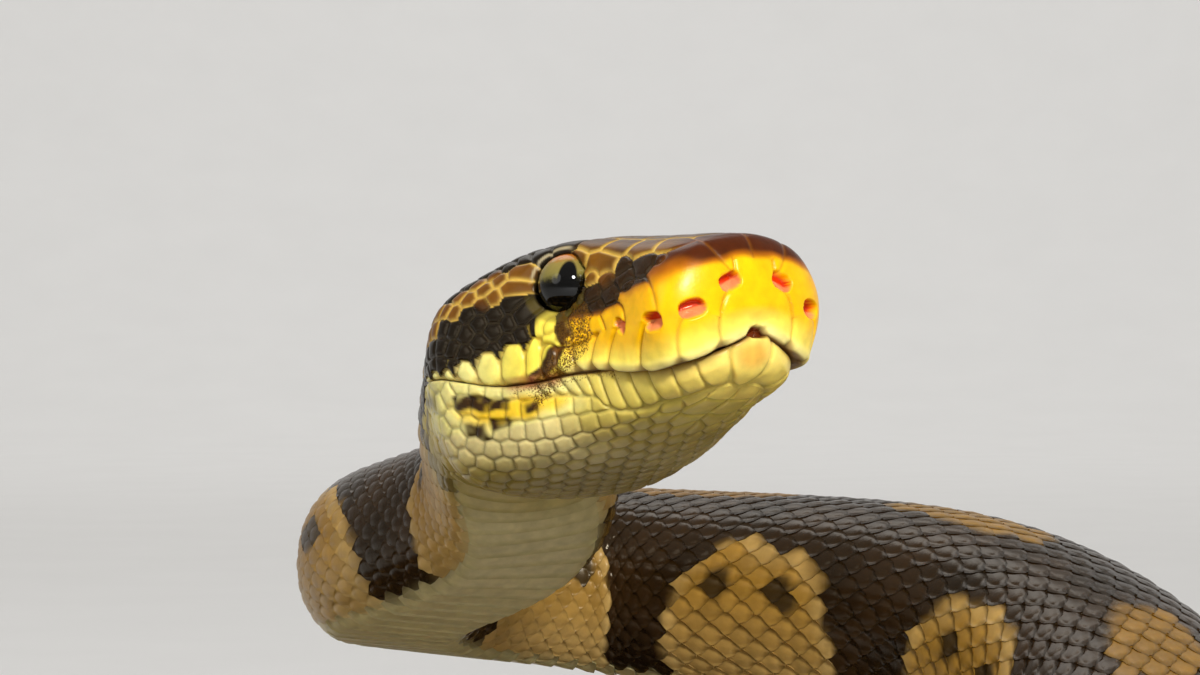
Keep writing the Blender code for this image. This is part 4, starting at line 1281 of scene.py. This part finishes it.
def keratin(name, roughness, softness, relief):
    """Keratin of a snake's scales: a thin clear horn, shiny, over coloured living skin.

    To the eye that is a soft gloss with sharp small highlights, and colour from below.
    """
    material, tree, shader = new_material(name)
    cloud = ranged(tree, noise(tree, mm=1.6, detail=4.0), 0.3, 0.7, 0.86, 1.12)
    varied = add(tree, "ShaderNodeVectorMath", {"operation": "SCALE"},
                 {0: reading(tree, "marking", "Color"), "Scale": cloud})
    dots = reckon(tree, "MULTIPLY_ADD", reading(tree, "speckle"), 0.34,
                  noise(tree, mm=0.18, detail=2.0, roughness=0.6))
    colour = blended(tree, ranged(tree, dots, 0.75, 0.91), varied.outputs["Vector"],
                     (*SPECKLE_BROWN, 1.0))
    bump = add(tree, "ShaderNodeBump", None,
               {"Strength": relief, "Distance": 0.12 * MM,
                "Height": noise(tree, mm=0.55, detail=5.0, roughness=0.62)})
    feed(tree, shader, {
        "Base Color": colour,
        "Roughness": ranged(tree, reading(tree, "wet"), 0.0, 1.0, roughness, 0.16),
        "Normal": bump.outputs["Normal"],
        "IOR": 1.5,
        "Specular IOR Level": 0.26,
        "Specular Tint": (1.0, 0.84, 0.58, 1.0),
        "Subsurface Weight": softness,
        "Subsurface Radius": (1.0, 0.45, 0.2),
        "Subsurface Scale": 0.9 * MM,
        "Coat Weight": 0.06,
        "Coat Roughness": 0.2,
    })
    return material


# The iris from below its middle to above it, and the slit: half width, height and lean.
IRIS = ((0.08, "#060503"), (0.18, "#2A2610"), (0.36, "#7A7038"), (0.72, "#8C7A3A"),
        (1.0, "#B4641A"))
SLIT_HALF, SLIT_HEIGHT, SLIT_LEAN = 0.30, 0.62, -0.10


def eye_material():
    """The clear scale over a python's eye, with the iris and the slit pupil inside."""
    material, tree, shader = new_material("clear eye scale over a dark iris")
    gaze = reading(tree, "gaze", "Vector")
    parts = add(tree, "ShaderNodeSeparateXYZ", None, {0: gaze})
    x, y = parts.outputs["X"], parts.outputs["Y"]
    across = reckon(tree, "DIVIDE", reckon(tree, "MULTIPLY_ADD", y, SLIT_LEAN, x), SLIT_HALF)
    spot = add(tree, "ShaderNodeCombineXYZ", None,
               {0: across, 1: reckon(tree, "DIVIDE", y, SLIT_HEIGHT)})
    slit = add(tree, "ShaderNodeVectorMath", {"operation": "LENGTH"}, {0: spot.outputs[0]})
    streaks = add(tree, "ShaderNodeTexNoise", {"noise_dimensions": "3D"},
                  {"Vector": gaze, "Scale": 7.0, "Detail": 5.0, "Distortion": 0.6})
    height = reckon(tree, "MULTIPLY_ADD", streaks.outputs["Fac"], 0.25, y)
    ramp = add(tree, "ShaderNodeValToRGB", None, {"Fac": height})
    stops = ramp.color_ramp.elements
    for position, code in IRIS[1:-1]:
        stops.new(position)
    for stop, (position, code) in zip(stops, IRIS):
        stop.position, stop.color = position, (*paint(code), 1.0)
    colour = blended(tree, ranged(tree, slit.outputs["Value"], 0.94, 1.12),
                     (*paint("#030303"), 1.0), ramp.outputs["Color"])
    feed(tree, shader, {"Base Color": colour, "Roughness": 0.05, "IOR": 1.36})
    return material


def floor_material():
    """Matt pale card, as lies under a small exhibit."""
    material, tree, shader = new_material("matt pale card")
    grain = noise(tree, mm=60.0, detail=3.0)
    feed(tree, shader, {"Base Color": ranged(tree, grain, 0.0, 1.0, 0.80, 0.84),
                        "Roughness": 0.9})
    return material


# ---------------------------------------------------------------- settings and pieces
class PythonSkin(bpy.types.PropertyGroup):
    head_sink: bpy.props.FloatProperty(
        name="Head skin depth", description="How far the skin lies under the head's shields",
        default=1.0 * MM, unit="LENGTH")
    body_sink: bpy.props.FloatProperty(
        name="Body skin depth", description="How far the skin lies under the body's scales",
        default=0.55 * MM, unit="LENGTH")


class PythonScales(bpy.types.PropertyGroup):
    thickness: bpy.props.FloatProperty(
        name="Scale thickness", description="Thickness of one body scale at its edge",
        default=0.22 * MM, unit="LENGTH")
    dullness: bpy.props.FloatProperty(
        name="Dullness", description="Roughness of a dry scale", default=0.36,
        min=0.0, max=1.0, subtype="FACTOR")


class StudioLight(bpy.types.PropertyGroup):
    key_power: bpy.props.FloatProperty(
        name="Key light", description="Power of the main soft light", default=5.2,
        unit="POWER")
    fill_power: bpy.props.FloatProperty(
        name="Fill light", description="Power of the soft light from the other side",
        default=1.6, unit="POWER")
    back_power: bpy.props.FloatProperty(
        name="Backdrop light", description="Power of the light on the wall behind",
        default=26.0, unit="POWER")


FLESH = ["head", "lower_jaw", "neck"] + [f"trunk_{n}" for n in range(1, 10)] + ["tail"]
# The body's scales are parted into pieces at these shares of its length.
COAT_CUTS = (1.01, 0.87, 0.745, 0.625, 0.505, 0.385, 0.25, 0.12, 0.0)
COAT_NAMES = ("neck_scales", "trunk_scales_6", "trunk_scales_5", "trunk_scales_4",
              "trunk_scales_3", "trunk_scales_2", "trunk_scales_1", "tail_scales")


def done(piece):
    """Says which body a finished piece rides on."""
    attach(piece, "root")


SKIN_SIDES, SKIN_HEAD_RINGS, SKIN_STEP = 72, 72, 2.4
SKIN_TAIL = (0.7, 1.6, 2.8)              # the skin's first rings, from the tail tip


def skin_depth(t, p, head_sink, body_sink):
    """How far the skin lies under the animal's outside, in mm."""
    back = WHOLE - t
    sink = np.interp(back, (HEAD_END - 3.0, HEAD_END + 1.5), (head_sink, body_sink))
    sink = np.minimum(sink, 0.30 + 0.012 * t)
    for side in (1.0, -1.0):
        for b, turn, half, _, deep, _ in PITS:
            far = np.linalg.norm(p - place(b, turn * side), axis=1)
            sink = np.maximum(sink, (deep + 1.5) * fade(far, half + 0.8, half + 2.6))
        far = np.linalg.norm(p - eye_frame(side)[0], axis=1)
        sink = np.maximum(sink, 4.0 * fade(far, EYE_RADIUS + 0.4, EYE_RADIUS + 2.2))
    return np.maximum(sink, 3.4 * fade(back, 1.0, 4.0))


class MESH_OT_python_skin(bpy.types.Operator):
    """Makes the one closed skin under all the scales"""
    bl_idname = "mesh.python_skin"
    bl_label = "Skin"

    def execute(self, context):
        sizes = context.scene.python_skin
        t = np.concatenate((SKIN_TAIL, np.arange(4.5, WHOLE - HEAD_END - 1.0, SKIN_STEP),
                            WHOLE - head_stations(SKIN_HEAD_RINGS)[::-1]))
        rows, count = len(t), SKIN_SIDES
        tt, aa = (g.ravel() for g in np.meshgrid(t, -1.0 + 2.0 * np.arange(count) / count,
                                                 indexing="ij"))
        p, back = surface(tt, aa), WHOLE - tt
        out = unit(mix(FORWARD, outward(tt, aa), ease(back, 0.8, 4.0)))
        sink = skin_depth(tt, p, sizes.head_sink / MM, sizes.body_sink / MM)
        points = p - out * sink[:, None]
        tint, edge = animal_paint(tt, aa, p)[:2]
        tint = mix(tint, edge, 0.6) * 0.62
        # The skin in the lips' line is painted the mouth's dark red-brown, partly as painted
        # shade.
        lip = hump(np.abs(aa) - LIP_SHARE, 0.02) * (back < MOUTH_CORNER + 3)
        tint = mix(tint, MOUTH_AND_SHADE_DARK, lip)
        # A fan of faces closes each end.
        tail_tip = points[:count].mean(axis=0) - unit(SPINE[3] - SPINE[0]) * 0.5
        snout_tip = points[-count:].mean(axis=0)
        points = np.vstack([points, tail_tip, snout_tip])
        last, ring = rows * count, np.arange(count)
        after, end = (ring + 1) % count, last - count
        tail_fan = np.stack((np.full(count, last), after, ring), -1)
        snout_fan = np.stack((np.full(count, last + 1), end + ring, end + after), -1)
        faces = [grid_faces(rows, count, closed=True), tail_fan, snout_fan]
        uvs = np.vstack([grid_uvs(rows, count), ((0.005, 0.5), (0.995, 0.5))])
        tint = np.vstack([tint, tint[0], tint[-1]])
        zero = np.zeros(len(points))
        skin = make_mesh("skin", points, faces, tint, {"speckle": zero, "wet": zero}, uvs,
                         keratin("soft skin between scales", roughness=0.55, softness=0.1,
                                 relief=0.35))
        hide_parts(*FLESH)
        done(skin)
        return {"FINISHED"}


class MESH_OT_python_head(bpy.types.Operator):
    """Makes the two shells of joined shields on the head and the lower jaw"""
    bl_idname = "mesh.python_head"
    bl_label = "Head shields"

    def execute(self, context):
        seeds = head_seeds()
        dullness = context.scene.python_scales.dullness - 0.04
        material = keratin("head shields of clear horn", dullness, softness=0.16, relief=0.22)
        upper = head_shell("head_scales", -LIP_SHARE, LIP_SHARE, UPPER_COLUMNS, seeds, material)
        done(upper)
        edge = LIP_SHARE + JAW_GAP
        lower = head_shell("jaw_scales", edge, 2 - edge, LOWER_COLUMNS, seeds, material)
        done(lower)
        return {"FINISHED"}


class MESH_OT_python_scales(bpy.types.Operator):
    """Lays the small overlapping scales over the neck, the trunk and the tail"""
    bl_idname = "mesh.python_scales"
    bl_label = "Body scales"

    def execute(self, context):
        sizes = context.scene.python_scales
        material = keratin("smooth body scales of clear horn", sizes.dullness,
                           softness=0.06, relief=0.25)
        template = lens_plate(*SCALE_GRID, SCALE_OUTLINE)
        spots = np.array(body_spots())
        share = spots[:, 0] / BODY_LENGTH
        for name, high, low in zip(COAT_NAMES, COAT_CUTS[:-1], COAT_CUTS[1:]):
            here = spots[(share <= high) & (share > low)]
            piece = plates(name, here, template, scale_height, sizes.thickness / MM, material)
            done(piece)
        return {"FINISHED"}


class MESH_OT_python_belly(bpy.types.Operator):
    """Lays the wide plates under the throat, the belly and the tail"""
    bl_idname = "mesh.python_belly"
    bl_label = "Belly plates"

    def execute(self, context):
        sizes = context.scene.python_scales
        material = keratin("broad belly plates of clear horn", sizes.dullness,
                           softness=0.12, relief=0.2)
        template = lens_plate(*BELLY_GRID, BELLY_OUTLINE)
        piece = plates("belly_plates", belly_spots(), template, plate_height, BELLY_THICKNESS,
                       material, shade=0.05)
        done(piece)
        return {"FINISHED"}


class MESH_OT_python_eyes(bpy.types.Operator):
    """Makes the two glossy eyes with their upright pupils"""
    bl_idname = "mesh.python_eyes"
    bl_label = "Eyes"

    def execute(self, context):
        material = eye_material()
        for name, side in (("eye_right", 1.0), ("eye_left", -1.0)):
            centre = eye_frame(side)[0]
            bpy.ops.object.select_all(action="DESELECT")
            bpy.ops.mesh.primitive_uv_sphere_add(segments=EYE_SEGMENTS, ring_count=EYE_RINGS,
                                                 radius=(EYE_RADIUS - EYE_CLEARANCE) * MM,
                                                 location=Vector(centre * MM))
            eye = bpy.context.object
            bpy.ops.object.transform_apply(location=True, rotation=True, scale=True)
            bpy.ops.object.shade_smooth()
            eye.name = eye.data.name = name + "_ball"
            co = np.empty(len(eye.data.vertices) * 3, np.float32)
            eye.data.vertices.foreach_get("co", co)
            gap = (co.reshape(-1, 3) / MM - centre) / EYE_RADIUS
            look = unit(-side * LEFT + GAZE_UP * UP + GAZE_AHEAD * FORWARD)
            ahead = unit(FORWARD - FORWARD.dot(look) * look)
            above = unit(UP - UP.dot(look) * look)
            gaze = np.column_stack((gap @ ahead, gap @ above, gap @ look))
            layer = eye.data.attributes.new("gaze", "FLOAT_VECTOR", "POINT")
            layer.data.foreach_set("vector", gaze.astype(np.float32).ravel())
            eye.data.materials.append(material)
            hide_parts(name)
            done(eye)
        return {"FINISHED"}


# The sweep in metres: its floor's radius, its wall's height and how far the wall leans out.
SWEEP_RADIUS, WALL_HEIGHT, WALL_OUT, SWEEP_STEPS = 2.6, 2.6, 1.6, 16
ROOM_COLOUR, ROOM_STRENGTH = (1.0, 0.96, 0.89, 1.0), 0.42
HEAD_SPOT = Vector((SNOUT + COIL_CENTRE) * MM)
WALL_SPOT = Vector((0.0, 3.2, 0.3))
# The lamps: place and size in metres, what they face, their power and their spread.
LAMPS = (("key", (0.17, -0.62, 0.44), 0.12, HEAD_SPOT, ("key_power", 1.0), 180.0),
         ("fill", (-0.70, -0.55, 0.45), 0.60, HEAD_SPOT, ("fill_power", 1.0), 180.0),
         ("rim", (-0.25, 0.70, 0.80), 0.50, HEAD_SPOT, ("fill_power", 0.4), 180.0),
         ("backdrop", (0.0, 1.9, 2.9), 2.4, WALL_SPOT, ("back_power", 1.0), 150.0))
CAMERA_SPOT, CAMERA_ANGLES, CAMERA_LENS = (0.0051, -0.380, 0.0924), (0.85, 0.07, 0.04), 104.5


def make_sweep():
    """A round floor whose wall turns up from it on a quarter of an ellipse."""
    bpy.ops.object.select_all(action="DESELECT")
    bpy.ops.mesh.primitive_circle_add(vertices=128, radius=SWEEP_RADIUS, fill_type="NGON")
    floor = bpy.context.object
    floor.name = "studio_floor"
    bpy.ops.object.mode_set(mode="EDIT")
    bpy.ops.mesh.select_all(action="SELECT")
    bpy.ops.mesh.region_to_loop()
    for n in range(SWEEP_STEPS):
        now, after = (math.pi / 2 * k / SWEEP_STEPS for k in (n, n + 1))
        grown = ((SWEEP_RADIUS + WALL_OUT * math.sin(after))
                 / (SWEEP_RADIUS + WALL_OUT * math.sin(now)))
        lift = WALL_HEIGHT * (math.cos(now) - math.cos(after))
        bpy.ops.mesh.extrude_edges_move(TRANSFORM_OT_translate={"value": (0, 0, lift)})
        bpy.ops.transform.resize(value=(grown, grown, 1.0), center_override=(0, 0, 0))
    bpy.ops.object.mode_set(mode="OBJECT")
    bpy.ops.object.shade_smooth()
    floor.data.materials.append(floor_material())
    return floor


def hang_lamps(scene):
    """The soft lamps and the room's own soft light."""
    world = bpy.data.worlds.new("soft room")
    scene.world = world
    world.use_nodes = True
    feed(world.node_tree, world.node_tree.nodes["Background"],
         {"Color": ROOM_COLOUR, "Strength": ROOM_STRENGTH})
    for name, spot, size, aim, (power, share), spread in LAMPS:
        lamp = bpy.data.lights.new(name, "AREA")
        lamp.energy = share * getattr(scene.python_light, power)
        lamp.size, lamp.shape, lamp.spread = size, "DISK", math.radians(spread)
        made = bpy.data.objects.new(name, lamp)
        made.location = spot
        made.rotation_mode = "QUATERNION"
        made.rotation_quaternion = (aim - Vector(spot)).to_track_quat("-Z", "Y")
        scene.collection.objects.link(made)


def place_camera(scene):
    """The camera, turned by its yaw, pitch and roll."""
    lens = bpy.data.cameras.new("camera")
    lens.lens, lens.sensor_width = CAMERA_LENS, 36.0
    lens.clip_start, lens.clip_end = 0.02, 100.0
    camera = bpy.data.objects.new("camera", lens)
    yaw, pitch, roll = (math.radians(v) for v in CAMERA_ANGLES)
    camera.matrix_world = (Matrix.Translation(CAMERA_SPOT) @ Matrix.Rotation(yaw, 4, "Z")
                           @ Matrix.Rotation(math.pi / 2 + pitch, 4, "X")
                           @ Matrix.Rotation(roll, 4, "Z"))
    scene.collection.objects.link(camera)
    scene.camera = camera


class MESH_OT_python_stage(bpy.types.Operator):
    """Sets the pale floor, the soft lights and the camera"""
    bl_idname = "mesh.python_stage"
    bl_label = "Studio"

    def execute(self, context):
        floor = make_sweep()
        context.scene.view_settings.view_transform = "Standard"
        hang_lamps(context.scene)
        place_camera(context.scene)
        return {"FINISHED"}


class VIEW3D_PT_python(bpy.types.Panel):
    """Shows the settings and the buttons that build the pieces"""
    bl_label = "Coiled ball python"
    bl_idname = "VIEW3D_PT_python"
    bl_space_type = "VIEW_3D"
    bl_region_type = "UI"
    bl_category = "Python"

    def draw(self, context):
        scene = context.scene
        for group in (scene.python_skin, scene.python_scales, scene.python_light):
            for key in group.bl_rna.properties.keys():
                if key not in ("rna_type", "name"):
                    self.layout.prop(group, key)
        for operator in OPERATORS:
            self.layout.operator(operator.bl_idname)


OPERATORS = (MESH_OT_python_skin, MESH_OT_python_head, MESH_OT_python_scales,
             MESH_OT_python_belly, MESH_OT_python_eyes, MESH_OT_python_stage)
GROUPS = (("python_skin", PythonSkin), ("python_scales", PythonScales),
          ("python_light", StudioLight))


def register():
    """Makes the settings, the operators and the panel known."""
    for name, group in GROUPS:
        bpy.utils.register_class(group)
        setattr(bpy.types.Scene, name, bpy.props.PointerProperty(type=group))
    for made in OPERATORS + (VIEW3D_PT_python,):
        bpy.utils.register_class(made)


def unregister():
    """Takes them away again, last first."""
    for made in (VIEW3D_PT_python,) + OPERATORS[::-1]:
        bpy.utils.unregister_class(made)
    for name, group in GROUPS[::-1]:
        delattr(bpy.types.Scene, name)
        bpy.utils.unregister_class(group)


def main():
    """Builds every piece and the stage."""
    register()
    bpy.ops.mesh.python_skin()
    bpy.ops.mesh.python_head()
    bpy.ops.mesh.python_scales()
    bpy.ops.mesh.python_belly()
    bpy.ops.mesh.python_eyes()
    bpy.ops.mesh.python_stage()


if __name__ == "__main__":
    main()
